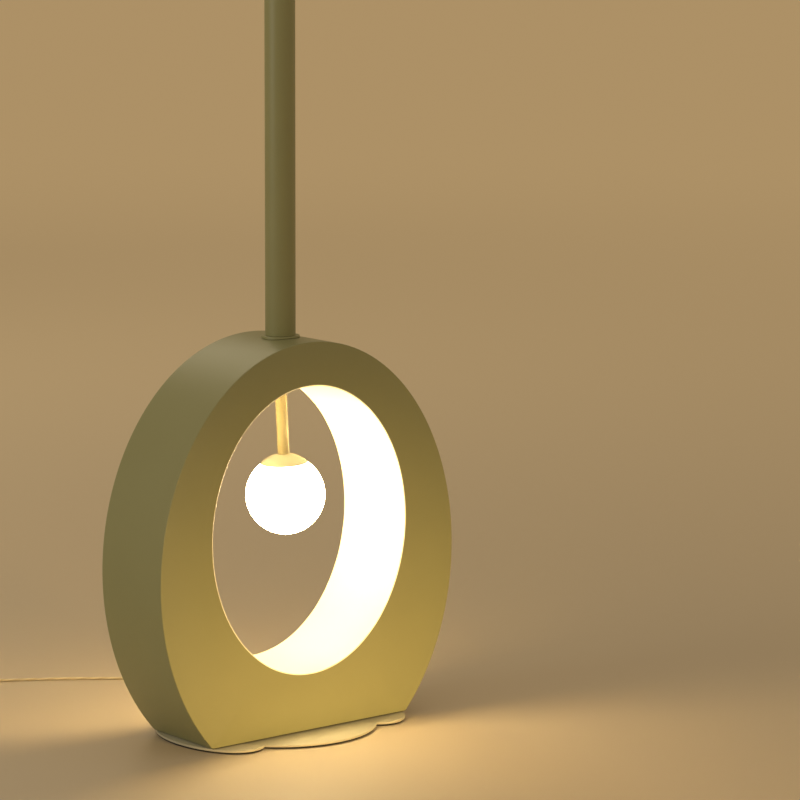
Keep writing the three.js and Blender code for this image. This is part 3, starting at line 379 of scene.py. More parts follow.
front_low, front_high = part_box("ring_front_face")
back_low, back_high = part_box("ring_back_face")
band_low, band_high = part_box("ring_inner_band")
foot_level = front_low.z
ring_half_width = front_high.x
ring_half_height = (front_high.z - foot_level + ring_foot_cut) / 2
ring_centre = front_high.z - ring_half_height
hole_half_width = band_high.x - band_sheet
hole_half_height = (band_high.z - band_low.z) / 2 - band_sheet
hole_centre = (band_high.z + band_low.z) / 2
rim_half_width = hole_half_width + pale_rim
rim_half_height = hole_half_height + pale_rim


def fresh():
    bpy.ops.object.select_all(action="DESELECT")


def edit(piece):
    fresh()
    piece.select_set(True)
    bpy.context.view_layer.objects.active = piece
    bpy.ops.object.mode_set(mode="EDIT")
    bpy.ops.mesh.select_mode(type="VERT")
    bpy.ops.mesh.select_all(action="SELECT")


def done():
    bpy.ops.object.mode_set(mode="OBJECT")


def settled(name):
    """Names the active object and puts its place into its mesh."""
    piece = bpy.context.object
    piece.name = name
    piece.data.name = name
    fresh()
    piece.select_set(True)
    bpy.ops.object.transform_apply(location=True, rotation=True, scale=True)
    return piece


def pick(kind, test):
    """Selects, in edit mode, the vertices, edges or faces that pass a test, and nothing else."""
    bpy.ops.mesh.select_mode(type={"verts": "VERT", "edges": "EDGE", "faces": "FACE"}[kind])
    bpy.ops.mesh.select_all(action="DESELECT")
    mesh = bmesh.from_edit_mesh(bpy.context.object.data)
    for part in getattr(mesh, kind):
        part.select_set(bool(test(part)))
    mesh.select_flush_mode()
    bmesh.update_edit_mesh(bpy.context.object.data)


def modified(piece, kind, **settings):
    """Adds a modifier and applies it."""
    modifier = piece.modifiers.new(kind.title(), kind)
    for name, value in settings.items():
        setattr(modifier, name, value)
    fresh()
    piece.select_set(True)
    bpy.context.view_layer.objects.active = piece
    bpy.ops.object.modifier_apply(modifier=modifier.name)
    return piece


def carved(piece, cutter, operation="DIFFERENCE"):
    """Cuts a piece with another, which is then gone."""
    modified(piece, "BOOLEAN", object=cutter, operation=operation, solver="EXACT")
    bpy.data.objects.remove(cutter, do_unlink=True)
    return piece


def smooth(piece, degrees=35):
    fresh()
    piece.select_set(True)
    bpy.context.view_layer.objects.active = piece
    bpy.ops.object.shade_smooth_by_angle(angle=math.radians(degrees))
    return piece


def facing_out(piece):
    edit(piece)
    bpy.ops.mesh.remove_doubles(threshold=same_place / 10)
    bpy.ops.mesh.normals_make_consistent(inside=False)
    done()


def oval_ring(half_width, half_height, y, z):
    """An upright oval of edges, as a new object in object mode or added to the mesh in edit mode."""
    bpy.ops.mesh.primitive_circle_add(
        vertices=ring_segments, radius=1, location=(0, y, z), rotation=along_y
    )
    if bpy.context.mode == "OBJECT":
        bpy.context.object.scale = (half_width, half_height, 1)
    else:
        bpy.ops.transform.resize(value=(half_width, 1, half_height), center_override=(0, y, z))


def cylinder(radius, low, high, at=(0, 0), sides=48):
    """A plain upright cylinder to cut with."""
    fresh()
    bpy.ops.mesh.primitive_cylinder_add(
        vertices=sides, radius=radius, depth=high - low, location=(*at, (low + high) / 2)
    )
    return settled("cutter")


def lying_cylinder(radius, length, place, rotation, sides=48):
    """A plain cylinder that lies along X or Y, to cut with."""
    fresh()
    bpy.ops.mesh.primitive_cylinder_add(
        vertices=sides, radius=radius, depth=length, location=place, rotation=rotation
    )
    return settled("cutter")


def rim_distance(place):
    """How far a point lies from the outer outline of the window's pale rim."""
    share = math.hypot(place.x / rim_half_width, (place.z - hole_centre) / rim_half_height)
    return abs(share - 1) * rim_half_width


def ring_face(name, near, far):
    """A face sheet from its outside at near to its inside at far."""
    fresh()
    oval_ring(ring_half_width, ring_half_height, near, ring_centre)
    face = settled(name)
    edit(face)
    bpy.ops.mesh.bisect(plane_co=(0, near, foot_level), plane_no=(0, 0, 1), clear_inner=True)
    pick("verts", lambda v: abs(v.co.z - foot_level) < same_place)
    bpy.ops.mesh.edge_face_add()
    bpy.ops.mesh.subdivide(number_cuts=ring_segments // 8)
    bpy.ops.mesh.select_all(action="DESELECT")
    oval_ring(rim_half_width, rim_half_height, near, hole_centre)
    bpy.ops.mesh.select_all(action="SELECT")
    bpy.ops.mesh.bridge_edge_loops()
    pick("edges", lambda e: e.is_boundary and all(rim_distance(v.co) < same_place for v in e.verts))
    bpy.ops.mesh.extrude_edges_move(TRANSFORM_OT_translate={"value": (0, 0, 0)})
    inner_share = (hole_half_width / rim_half_width, 1, hole_half_height / rim_half_height)
    bpy.ops.transform.resize(value=inner_share, center_override=(0, near, hole_centre))
    bpy.ops.mesh.select_all(action="SELECT")
    bpy.ops.mesh.extrude_region_move(TRANSFORM_OT_translate={"value": (0, far - near, 0)})
    bpy.ops.mesh.select_all(action="SELECT")
    bpy.ops.mesh.normals_make_consistent(inside=False)

    def outer_corner(edge):
        return all(abs(v.co.y - near) < same_place for v in edge.verts) and edge.calc_face_angle(0) > 1

    pick("edges", outer_corner)
    bpy.ops.mesh.bevel(offset=broken_edge, segments=3, affect="EDGES")
    done()
    return smooth(face)


def pale_at_window(face):
    """Gives a face sheet's narrow rim round the window the inner band's pale finish, so a bright line runs
    round the window.
    """
    face.data.materials.append(inner_paint.material)
    for polygon in face.data.polygons:
        corners = [face.data.vertices[i].co for i in polygon.vertices]
        wide = rim_half_width + same_place
        tall = rim_half_height + same_place
        if all(math.hypot(c.x / wide, (c.z - hole_centre) / tall) < 1 for c in corners):
            polygon.material_index = 1


sage_paint = Finish("sage_paint", roughness=0.42)
patches = sage_paint.noise(0.09, detail=3)
peel = sage_paint.noise(0.0016, detail=1)
fine_grain = sage_paint.noise(0.0004, detail=2)
sage_paint.drive(
    base_color=sage_paint.mixed(patches, paint_rgb(141, 139, 96), paint_rgb(148, 146, 102)),
    roughness=patches * 0.1 + fine_grain * 0.06 + 0.36,
    normal=sage_paint.bump(peel + fine_grain * 0.3, peel_height),
)

inner_paint = Finish("inner_paint", roughness=0.42)
pale_patches = inner_paint.noise(0.07, detail=3)
inner_paint.drive(
    base_color=inner_paint.mixed(pale_patches, paint_rgb(233, 226, 198), paint_rgb(240, 234, 208)),
    roughness=pale_patches * 0.1 + 0.38,
    normal=inner_paint.bump(inner_paint.noise(0.0016, detail=1), peel_height),
)

ring_front = ring_face("front_sheet", front_low.y, front_high.y)
ring_back = ring_face("back_sheet", back_high.y, back_low.y)
gland_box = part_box("cord_gland")
gland_z = (gland_box[0].z + gland_box[1].z) / 2
gland_shank_radius = 0.005
bolt_gap = 0.0003
gland_cutter_length = 0.02
gland_place = (0, back_high.y, gland_z)
carved(ring_back, lying_cylinder(gland_shank_radius + bolt_gap, gland_cutter_length, gland_place, along_y))
dressed(ring_front, sage_paint, nodes=["ring_front_face"])
dressed(ring_back, sage_paint, nodes=["ring_back_face"])
pale_at_window(ring_front)
pale_at_window(ring_back)


# The ring's outer band is rolled from sheet and welded flush between the two faces. The welds are ground
# and painted over, so no seam shows.
nipple_hole_radius = 0.0063


def rolled_band(name, half_width, half_height, centre, inward):
    """A closed oval strip between the two face sheets, with its wall on the inner or the outer side."""
    fresh()
    oval_ring(half_width, half_height, front_high.y, centre)
    band = settled(name)
    edit(band)
    bpy.ops.mesh.extrude_edges_move(TRANSFORM_OT_translate={"value": (0, back_low.y - front_high.y, 0)})
    bpy.ops.mesh.select_all(action="SELECT")
    bpy.ops.mesh.normals_make_consistent(inside=False)
    done()
    outward = band.data.polygons[0].normal.dot(band.data.polygons[0].center - Vector((0, 0, centre))) > 0
    offset = -1 if inward == outward else 1
    modified(band, "SOLIDIFY", thickness=band_sheet, offset=offset, use_even_offset=True)
    facing_out(band)
    return band


outer_band = rolled_band("outer_band", ring_half_width, ring_half_height, ring_centre, inward=True)
edit(outer_band)
bpy.ops.mesh.bisect(plane_co=(0, 0, foot_level), plane_no=(0, 0, 1), clear_inner=True, use_fill=True)
done()
carved(outer_band, cylinder(nipple_hole_radius, ring_centre, front_high.z + band_sheet))
dressed(smooth(outer_band), sage_paint, nodes=["ring_outer_band"])


# The inner band lines the window. It is rolled from the same sheet as the outer band, and it has a pale
# paint that the globe lights up.
inner_band = rolled_band("inner_band", hole_half_width, hole_half_height, hole_centre, inward=False)
carved(inner_band, cylinder(nipple_hole_radius, hole_centre, band_high.z + band_sheet))
dressed(smooth(inner_band), inner_paint, nodes=["ring_inner_band"])


# The base plate is a disc with an oval lobe on each side, so that its edge has four cusps. A dark foam pad
# under it stands back from the edge, and a thin foam gasket lies between the plate and the ring. Their
# black is partly painted shade, for the shade in the gaps under the plate and under the ring's foot.
plate_low, plate_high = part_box("base_plate")
lobe_centre = 0.088
lobe_half_depth = 0.072
pad_inset = 0.0015
plate_edge = 0.0004
foam_edge = 0.0003
foam_cell = 0.0006
base_screw_count = 4
sharp_angle = math.radians(50)
plate_segments = 160


def block(name, low, high):
    """A plain box between two corners."""
    fresh()
    bpy.ops.mesh.primitive_cube_add(size=1, location=(low + high) / 2)
    bpy.context.object.scale = high - low
    return settled(name)


def edges_broken(piece, width, segments=2):
    """Bevels the sharp edges of a piece."""
    settings = {"width": width, "segments": segments, "limit_method": "ANGLE", "angle_limit": sharp_angle}
    return modified(piece, "BEVEL", **settings)


def lobed_disc(name, low, high, inset):
    """A disc and two oval lobes, joined."""
    disc = plate_high.y - inset
    half_width = plate_high.x - lobe_centre - inset
    half_depth = lobe_half_depth - inset
    ovals = [(0, disc, disc), (-lobe_centre, half_width, half_depth), (lobe_centre, half_width, half_depth)]
    made = []
    for x, wide, deep in ovals:
        fresh()
        bpy.ops.mesh.primitive_cylinder_add(
            vertices=plate_segments, radius=1, depth=high - low, location=(x, 0, (low + high) / 2)
        )
        bpy.context.object.scale = (wide, deep, 1)
        made.append(settled(name))
    for lobe in made[1:]:
        carved(made[0], lobe, "UNION")
    made[0].name = name
    return made[0]


plate_paint = Finish("plate_paint", roughness=0.45)
plate_patches = plate_paint.noise(0.05, detail=3)
plate_paint.drive(
    base_color=plate_paint.mixed(plate_patches, paint_rgb(180, 173, 147), paint_rgb(188, 181, 155)),
    roughness=plate_patches * 0.12 + 0.36,
    normal=plate_paint.bump(plate_paint.noise(0.0014, detail=1), peel_height),
)
plate = lobed_disc("plate", plate_low.z, plate_high.z, 0)

# The black foam makes the dark lines under the plate and under the ring's foot, where its black is partly
# painted shade.
black_foam = Finish("black_foam", roughness=0.95)
cells = black_foam.node("TexVoronoi", None, {"Vector": black_foam.place(), "Scale": 1 / foam_cell})
black_foam.drive(
    base_color=black_foam.mixed(black_foam.noise(0.004), paint_rgb(30, 29, 27), paint_rgb(44, 42, 39)),
    normal=black_foam.bump(cells, 0.0001),
)
pad = lobed_disc("foam_pad", 0, plate_low.z, pad_inset)
gasket_low, gasket_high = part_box("foot_gasket")
gasket = block("foot_seal_and_shade_line", gasket_low, gasket_high)
edit(gasket)
bpy.ops.mesh.bevel(offset=foam_edge, segments=2, affect="EDGES")
done()
screw_head_hole = 0.00505
screw_hole = 0.0027
for number in range(1, base_screw_count + 1):
    screw_low, screw_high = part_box(f"base_screw_{number}")
    middle = (screw_low + screw_high) / 2
    carved(pad, cylinder(screw_head_hole, -plate_low.z, 2 * plate_low.z, (middle.x, middle.y)))
    for sheet in (plate, gasket):
        carved(sheet, cylinder(screw_hole, 0, 2 * gasket_high.z, (middle.x, middle.y)))
edges_broken(plate, plate_edge)
dressed(smooth(plate), plate_paint, nodes=["base_plate"])
dressed(smooth(pad), black_foam, nodes=["base_pad"])
dressed(smooth(gasket), black_foam, nodes=["foot_gasket"])


# The pole: two tubes on a threaded coupler, with a plug in the top end. A thin turned collar hides the hole
# in the ring; its underside follows the ring's round top.
pole_wall = 0.0014
turned_segments = 96
small_segments = 64
slim_segments = 48
seed_size = 0.001


def turned(name, section, steps=turned_segments):
    """Draws a section point by point from one vertex, as (radius, height), and spins it about the Z axis."""
    fresh()
    bpy.ops.mesh.primitive_plane_add(size=seed_size, location=(section[0][0], 0, section[0][1]))
    piece = settled(name)
    edit(piece)
    bpy.ops.mesh.merge(type="CENTER")
    for (r, z), (next_r, next_z) in zip(section, section[1:]):
        bpy.ops.mesh.extrude_vertices_move(TRANSFORM_OT_translate={"value": (next_r - r, 0, next_z - z)})
    bpy.ops.mesh.select_all(action="SELECT")
    bpy.ops.mesh.spin(steps=steps, angle=2 * math.pi, center=(0, 0, 0), axis=(0, 0, 1))
    bpy.ops.mesh.select_all(action="SELECT")
    bpy.ops.mesh.remove_doubles(threshold=same_place)
    bpy.ops.mesh.dissolve_degenerate(threshold=same_place)
    bpy.ops.mesh.select_all(action="SELECT")
    bpy.ops.mesh.normals_make_consistent(inside=False)
    done()
    return piece


def arc(centre, radius, start, end, steps):
    """Points of a round stretch of a section, with its angles in degrees."""
    angles = [math.radians(start + (end - start) * i / steps) for i in range(steps + 1)]
    return [(centre[0] + radius * math.cos(a), centre[1] + radius * math.sin(a)) for a in angles]


def foot_corner(radius, z, edge, steps=4):
    """A section's rounded outer corner at the foot of a piece."""
    return arc((radius - edge, z + edge), edge, -90, 0, steps)


def head_corner(radius, z, edge, steps=4):
    """A section's rounded outer corner at the top of a piece."""
    return arc((radius - edge, z - edge), edge, 0, 90, steps)


def tube_section(inner, outer, low, high, edge):
    """A wall's section with its two outer corners rounded."""
    return [
        (inner, low),
        *foot_corner(outer, low, edge),
        *head_corner(outer, high, edge),
        (inner, high),
        (inner, low),
    ]


pole_edge = 0.0004
for node in ("pole_lower", "pole_upper"):
    low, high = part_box(node)
    tube = turned(node + "_tube", tube_section(high.x - pole_wall, high.x, low.z, high.z, pole_edge))
    dressed(smooth(tube), sage_paint, nodes=[node])

pole_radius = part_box("pole_lower")[1].x
plug_radius = pole_radius - pole_wall - bolt_gap
coupler_low, coupler_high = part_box("pole_coupler")
coupler_flange = 0.002
coupler_bore = 0.008
joint_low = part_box("pole_lower")[1].z
joint_high = joint_low + coupler_flange
flange_bulge = 0.0003
flange_round = (pole_radius - coupler_flange / 2 + flange_bulge, (joint_low + joint_high) / 2)
coupler = turned("coupler", [
    (coupler_bore, coupler_low.z),
    (plug_radius - pole_edge, coupler_low.z),
    (plug_radius, coupler_low.z + pole_edge),
    (plug_radius, joint_low),
    (pole_radius - pole_edge, joint_low),
    *arc(flange_round, coupler_flange / 2, -70, 70, 6),
    (pole_radius - pole_edge, joint_high),
    (plug_radius, joint_high),
    (plug_radius, coupler_high.z - pole_edge),
    (plug_radius - pole_edge, coupler_high.z),
    (coupler_bore, coupler_high.z),
    (coupler_bore, coupler_low.z),
])
dressed(smooth(coupler), sage_paint, nodes=["pole_coupler"])

plug_low, plug_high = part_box("pole_top_plug")
top_bore = 0.0053
top_edge = 0.0012
pole_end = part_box("pole_upper")[1].z
top_plug = turned("pole_cap", [
    (top_bore, plug_low.z),
    (plug_radius, plug_low.z),
    (plug_radius, pole_end),
    (pole_radius - pole_edge, pole_end),
    *foot_corner(pole_radius, pole_end, pole_edge, 3),
    *head_corner(pole_radius, plug_high.z, top_edge, 6),
    (top_bore, plug_high.z),
    (top_bore, plug_low.z),
])
dressed(smooth(top_plug), sage_paint, nodes=["pole_top_plug"])

collar_low, collar_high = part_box("pole_collar")
collar_edge = 0.0006
collar = turned("collar", [
    (nipple_hole_radius, collar_low.z),
    (collar_high.x, collar_low.z),
    *head_corner(collar_high.x, collar_high.z, collar_edge, 5),
    (nipple_hole_radius, collar_high.z),
    (nipple_hole_radius, collar_low.z),
])
fresh()
oval_ring(ring_half_width + bolt_gap, ring_half_height + bolt_gap, front_low.y, ring_centre)
ring_skin = settled("ring_skin")
edit(ring_skin)
bpy.ops.mesh.edge_face_add()
bpy.ops.mesh.extrude_region_move(TRANSFORM_OT_translate={"value": (0, back_high.y - front_low.y, 0)})
bpy.ops.mesh.select_all(action="SELECT")
bpy.ops.mesh.normals_make_consistent(inside=False)
done()
carved(collar, ring_skin)
dressed(smooth(collar), sage_paint, nodes=["pole_collar"])


# The hanging globe leans a little to the right, about a point in the brass nut that holds it. A painted rod
# screws into a short socket, and a thin pressed cap sits on the opal glass.
rod_lean = 3
rod_wall = 0.0014
globe_wall = 0.002
globe_mouth = 0.014
cap_rim_radius = 0.0235
cap_rim_rise = 0.0325
cap_sagitta = 0.0093
cap_wall = 0.0012
globe_drop = 0.1155
rod_radius = 0.0058
globe_radius = 0.0394
rod_edge = 0.0002
lean_point = Vector((0, 0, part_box("nipple_nut")[0].z))
globe_centre = hole_centre + hole_half_height - globe_drop
to_lean_point = Matrix.Translation(lean_point)
hang = to_lean_point @ Matrix.Rotation(math.radians(-rod_lean), 4, "Y") @ to_lean_point.inverted()


def moved(piece, matrix):
    """Puts a piece in another place, with that place in its mesh."""
    piece.matrix_world = matrix
    fresh()
    piece.select_set(True)
    bpy.context.view_layer.objects.active = piece
    bpy.ops.object.transform_apply(location=True, rotation=True, scale=True)
    return piece


rod_paint = Finish("rod_paint", roughness=0.36, coat_weight=0.15, coat_roughness=0.2)
rod_patches = rod_paint.noise(0.03, detail=2)
rod_paint.drive(
    base_color=rod_paint.mixed(rod_patches, paint_rgb(180, 169, 133), paint_rgb(187, 176, 140)),
    roughness=rod_patches * 0.1 + 0.3,
    normal=rod_paint.bump(rod_paint.noise(0.0014, detail=1), 0.00002),
)
# The cap's paint is a lighter copy of the rod's paint; the extra lightness is painted light from the lit
# globe it sits on.
cap_paint_with_painted_light = Finish("rod_paint", roughness=0.4)
cap_patches = cap_paint_with_painted_light.noise(0.03, detail=2)
cap_paint_with_painted_light.drive(
    base_color=cap_paint_with_painted_light.mixed(cap_patches, paint_rgb(204, 199, 182), paint_rgb(211, 206, 190)),
    roughness=cap_patches * 0.1 + 0.35,
)

cap_radius = (cap_rim_radius**2 + cap_sagitta**2) / (2 * cap_sagitta)
cap_arc_centre = globe_centre + cap_rim_rise + cap_sagitta - cap_radius
rod_bore = rod_radius - rod_wall
rim_angle = math.degrees(math.asin(cap_rim_radius / cap_radius))
bore_angle = math.degrees(math.asin(rod_bore / cap_radius))
cap_inside = cap_radius - cap_wall
inner_bore_angle = math.degrees(math.asin(rod_bore / cap_inside))
glass_clear = globe_radius + bolt_gap
inner_rim_angle = math.degrees(math.asin(cap_rim_rise / glass_clear))
meeting_height = (cap_inside**2 - glass_clear**2 - (cap_arc_centre - globe_centre) ** 2) / (
    2 * (globe_centre - cap_arc_centre)
)
under_cap_angle = math.degrees(math.acos((meeting_height + globe_centre - cap_arc_centre) / cap_inside))
meeting_angle = math.degrees(math.asin(meeting_height / glass_clear))
cap = turned("globe_cap_shell", [
    *arc((0, cap_arc_centre), cap_radius, 90 - rim_angle, 90 - bore_angle, 24),
    *arc((0, cap_arc_centre), cap_inside, 90 - inner_bore_angle, 90 - under_cap_angle, 10),
    *arc((0, globe_centre), glass_clear, meeting_angle, inner_rim_angle, 6),
    (cap_rim_radius, cap_arc_centre + math.sqrt(cap_radius**2 - cap_rim_radius**2)),
])
dressed(smooth(moved(cap, hang)), cap_paint_with_painted_light, nodes=["globe_cap"])

socket_radius = 0.008
socket_height = 0.007
socket_rod_entry = 0.0035
socket_bore = 0.0068
socket_edge = 0.0008
socket_top = lean_point.z - 2 * bolt_gap
rod_top = socket_top - socket_height + socket_rod_entry
rod_bottom = cap_arc_centre + math.sqrt(cap_radius**2 - rod_bore**2) + bolt_gap
rod = turned("globe_rod", tube_section(rod_bore, rod_radius, rod_bottom, rod_top, rod_edge), small_segments)
dressed(smooth(moved(rod, hang)), rod_paint, nodes=["hanging_rod"])
socket_bottom = socket_top - socket_height
socket = turned("globe_rod_socket", [
    (rod_radius + bolt_gap, socket_bottom),
    *foot_corner(socket_radius, socket_bottom, socket_edge, 5),
    *head_corner(socket_radius, socket_top, socket_edge, 5),
    (socket_bore, socket_top),
    (socket_bore, rod_top),
    (rod_radius + bolt_gap, rod_top),
    (rod_radius + bolt_gap, socket_bottom),
], small_segments)
dressed(smooth(moved(socket, hang)), rod_paint, nodes=["rod_socket"])

# The opal glass is lit from inside, so it glows evenly and warms the ring round it.
glow_strength = 44.0
deep_glow = (1.0, 0.76, 0.40, 1)
pale_glow = (1.0, 0.78, 0.42, 1)
lit_opal = Finish("opal_glass", roughness=0.25, emission_strength=glow_strength)
lit_opal.drive(
    base_color=lit_opal.mixed(lit_opal.noise(0.02), paint_rgb(255, 250, 240), paint_rgb(252, 246, 232)),
    emission_color=lit_opal.mixed(lit_opal.noise(0.05), deep_glow, pale_glow),
)
mouth_angle = math.degrees(math.acos(globe_mouth / globe_radius))
inside_radius = globe_radius - globe_wall
inner_mouth_angle = math.degrees(math.acos(globe_mouth / inside_radius))
glass = turned("globe", [
    *arc((0, globe_centre), globe_radius, -90, mouth_angle, 64),
    *arc((0, globe_centre), inside_radius, inner_mouth_angle, -90, 48),
])
dressed(smooth(moved(glass, hang)), lit_opal, nodes=["globe_glass"])


# The brass nut under the window's upper edge sits on the threaded tube that carries pole and rod. It has
# six sides, and its edges are broken.
brass = Finish("brass", roughness=0.3, metallic=1.0)
brushing = brass.noise(0.0012, detail=3, stretch=(1, 1, 12))
brass.drive(
    base_color=brass.mixed(brass.noise(0.02), paint_rgb(196, 160, 86), paint_rgb(208, 174, 102)),
    roughness=brushing * 0.2 + 0.2,
    normal=brass.bump(brushing, 0.00001),
)
nut_low, nut_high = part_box("nipple_nut")
nut_across = 0.017
nut_edge = 0.0005


def hexagon_nut(name, low, high, across, hole):
    """A six-sided nut about the Z axis, with its corners broken."""
    fresh()
    bpy.ops.mesh.primitive_cylinder_add(
        vertices=6, radius=across / math.sqrt(3), depth=high - low, location=(0, 0, (low + high) / 2),
        rotation=(0, 0, math.radians(30)),
    )
    nut = settled(name)
    carved(nut, cylinder(hole, low - nut_edge, high + nut_edge))
    edges_broken(nut, nut_edge, 3)
    return smooth(nut)


nut = hexagon_nut("rod_nut", nut_low.z, nut_high.z, nut_across, nipple_hole_radius)
dressed(nut, brass, nodes=["nipple_nut"])


# The lamp holder's saddle is a brass strip bent up at both ends. It is clamped on top of the pole, and its
# ears carry the harp.
saddle_low, saddle_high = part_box("harp_saddle")
saddle_sheet = 0.0015
saddle_bend = 0.0022
saddle_edge = 0.0003


def saddle_fold(edge):
    start, end = (v.co for v in edge.verts)
    return max(start.z, end.z) - saddle_low.z < same_place and abs(start.x - end.x) < same_place


saddle = block("saddle", saddle_low, saddle_high)
edit(saddle)
pick("faces", lambda f: f.normal.z > 0.9 or abs(f.normal.y) > 0.9)
bpy.ops.mesh.delete(type="ONLY_FACE")
pick("edges", saddle_fold)
bpy.ops.mesh.bevel(offset=saddle_bend, segments=5, affect="EDGES")
done()
modified(saddle, "SOLIDIFY", thickness=saddle_sheet, offset=-1, use_even_offset=True)
carved(saddle, cylinder(top_bore, saddle_low.z - saddle_sheet, saddle_low.z + 2 * saddle_sheet))
edges_broken(saddle, saddle_edge)
dressed(smooth(saddle), brass, nodes=["harp_saddle"])


# The glazed lamp holder stands on the saddle under the shade, and its opal bulb is screwed in. The bulb is
# unlit, so it has a finish of its own beside the lit globe's.
ceramic = Finish("ceramic", roughness=0.35, coat_weight=0.6, coat_roughness=0.1)
ceramic.drive(
    base_color=ceramic.mixed(ceramic.noise(0.015), paint_rgb(236, 233, 224), paint_rgb(242, 240, 233)),
    normal=ceramic.bump(ceramic.noise(0.003), 0.00002),
)
holder_low, holder_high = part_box("top_holder")
bulb_low, bulb_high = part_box("top_bulb")
holder_neck = 0.012
holder_neck_height = 0.010
holder_shoulder_height = 0.008
holder_shoulder_round = 0.006
holder_foot_edge = 0.001
holder_groove = 0.001
holder_lip = 0.0015
holder_shoulder_low = holder_low.z + holder_neck_height
holder_shoulder_high = holder_shoulder_low + holder_shoulder_height
holder_radius = holder_high.x
holder_mouth = 0.0135
holder_floor = bulb_low.z - bolt_gap
groove_centre = (holder_radius, holder_shoulder_high + holder_shoulder_round + holder_groove)
holder = turned("lamp_holder", [
    (top_bore, holder_low.z),
    *foot_corner(holder_neck, holder_low.z, holder_foot_edge),
    (holder_neck, holder_shoulder_low - holder_foot_edge),
    *arc((holder_radius - holder_shoulder_round, holder_shoulder_high), holder_shoulder_round, -60, 0, 8),
    (holder_radius, holder_shoulder_high + holder_shoulder_round),
    *arc(groove_centre, holder_groove, -90, -180, 5),
    *arc(groove_centre, holder_groove, 180, 90, 5),
    *head_corner(holder_radius, holder_high.z, holder_lip, 5),
    (holder_mouth, holder_high.z),
    (holder_mouth, holder_floor),
    (top_bore, holder_floor),
    (top_bore, holder_low.z),
])
dressed(smooth(holder), ceramic, nodes=["top_holder"])

bulb_opal = Finish("opal_glass", roughness=0.22, subsurface_weight=0.2)
bulb_opal.drive(
    base_color=bulb_opal.mixed(bulb_opal.noise(0.02), paint_rgb(244, 241, 233), paint_rgb(249, 247, 240)),
)
bulb_radius = bulb_high.x
bulb_centre = bulb_high.z - bulb_radius
bulb_base = 0.0132
bulb_neck = 0.015
bulb_tip_inset = 0.004
bulb_tip_height = 0.003
bulb_flare = bulb_neck - bulb_base
bulb_neck_foot = holder_high.z + bolt_gap
bulb_neck_angle = -math.degrees(math.acos(bulb_neck / bulb_radius))
bulb = turned("shade_bulb", [
    (0, bulb_low.z),
    (bulb_base - bulb_tip_inset, bulb_low.z),
    (bulb_base, bulb_low.z + bulb_tip_height),
    (bulb_base, bulb_neck_foot),
    *foot_corner(bulb_neck, bulb_neck_foot, bulb_flare),
    *arc((0, bulb_centre), bulb_radius, bulb_neck_angle, 90, 40),
])
dressed(smooth(bulb), bulb_opal, nodes=["top_bulb"])


# The harp is a bent wire that carries the shade over the bulb, with a disc and a threaded stud on top. The
# shade is spun steel with a rolled rim, sage outside and white inside, clamped by a brass finial.
harp_low, harp_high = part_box("shade_harp")
harp_wire = 0.0022
harp_half_width = 0.041
harp_half_height = 0.078
harp_centre = harp_high.z - harp_wire - harp_half_height
harp_sides = 6
harp_segments = 192
harp_foot_cut = harp_wire / 6
fresh()
bpy.ops.mesh.primitive_circle_add(
    vertices=harp_segments, radius=1, location=(0, 0, harp_centre), rotation=along_y
)
bpy.context.object.scale = (harp_half_width, harp_half_height, 1)
harp = settled("harp")
edit(harp)
bpy.ops.mesh.bisect(plane_co=(0, 0, harp_low.z + harp_foot_cut), plane_no=(0, 0, 1), clear_inner=True)
done()
bpy.context.view_layer.objects.active = harp
bpy.ops.object.convert(target="CURVE")
harp.data.bevel_depth = harp_wire
harp.data.bevel_resolution = harp_sides
harp.data.use_fill_caps = True
bpy.ops.object.convert(target="MESH")
dressed(smooth(harp), brass, nodes=["shade_harp"])

stud_low, stud_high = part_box("harp_stud")
stud_disc_radius = stud_high.x
stud_disc_thickness = 0.003
stud_radius = 0.003
stud_edge = 0.0006
stud_disc_top = stud_low.z + stud_disc_thickness
stud = turned("shade_stud", [
    (0, stud_low.z),
    *foot_corner(stud_disc_radius, stud_low.z, stud_edge),
    *head_corner(stud_disc_radius, stud_disc_top, stud_edge),
    (stud_radius, stud_disc_top),
    *head_corner(stud_radius, stud_high.z, stud_edge),
    (0, stud_high.z),
], slim_segments)
dressed(smooth(stud), brass, nodes=["harp_stud"])

shade_low, shade_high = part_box("shade_dome")
shade_radius = shade_high.x
shade_height = 0.150
shade_wall = 0.0012
shade_bead = 0.0017
shade_hole = 0.0033
shade_steps = 48
shade_segments = 160


def shade_curve(inset, start):
    """The shade's quarter oval from the rim to the hole in its top."""
    wide = shade_radius - inset
    tall = shade_height - inset
    last = math.acos(shade_hole / wide)
    angles = [start + (last - start) * i / shade_steps for i in range(shade_steps + 1)]
    return [(wide * math.cos(a), shade_low.z + tall * math.sin(a)) for a in angles]


bead_angle = math.asin(2 * shade_bead / shade_height)
outer_curve = shade_curve(0, bead_angle)
inner_curve = shade_curve(shade_wall, bead_angle)
bead_centre = (outer_curve[0][0] - shade_wall / 2, shade_low.z + shade_bead)
shade = turned("shade", [
    *outer_curve,
    *inner_curve[::-1],
    *arc(bead_centre, shade_bead, 120, 420, 14),
    outer_curve[0],
], shade_segments)
shade_white = Finish("inner_paint", roughness=0.5)
shade_white.drive(
    base_color=shade_white.mixed(shade_white.noise(0.05), paint_rgb(240, 238, 230), paint_rgb(246, 244, 237)),
    normal=shade_white.bump(shade_white.noise(0.0016, detail=1), peel_height),
)
dressed(smooth(shade), sage_paint, nodes=["shade_dome"])
shade.data.materials.append(shade_white.material)
for face in shade.data.polygons:
    outward = Vector((face.center.x, face.center.y, face.center.z - shade_low.z))
    if face.normal.dot(outward) < 0 and outward.z > 2 * shade_bead:
        face.material_index = 1

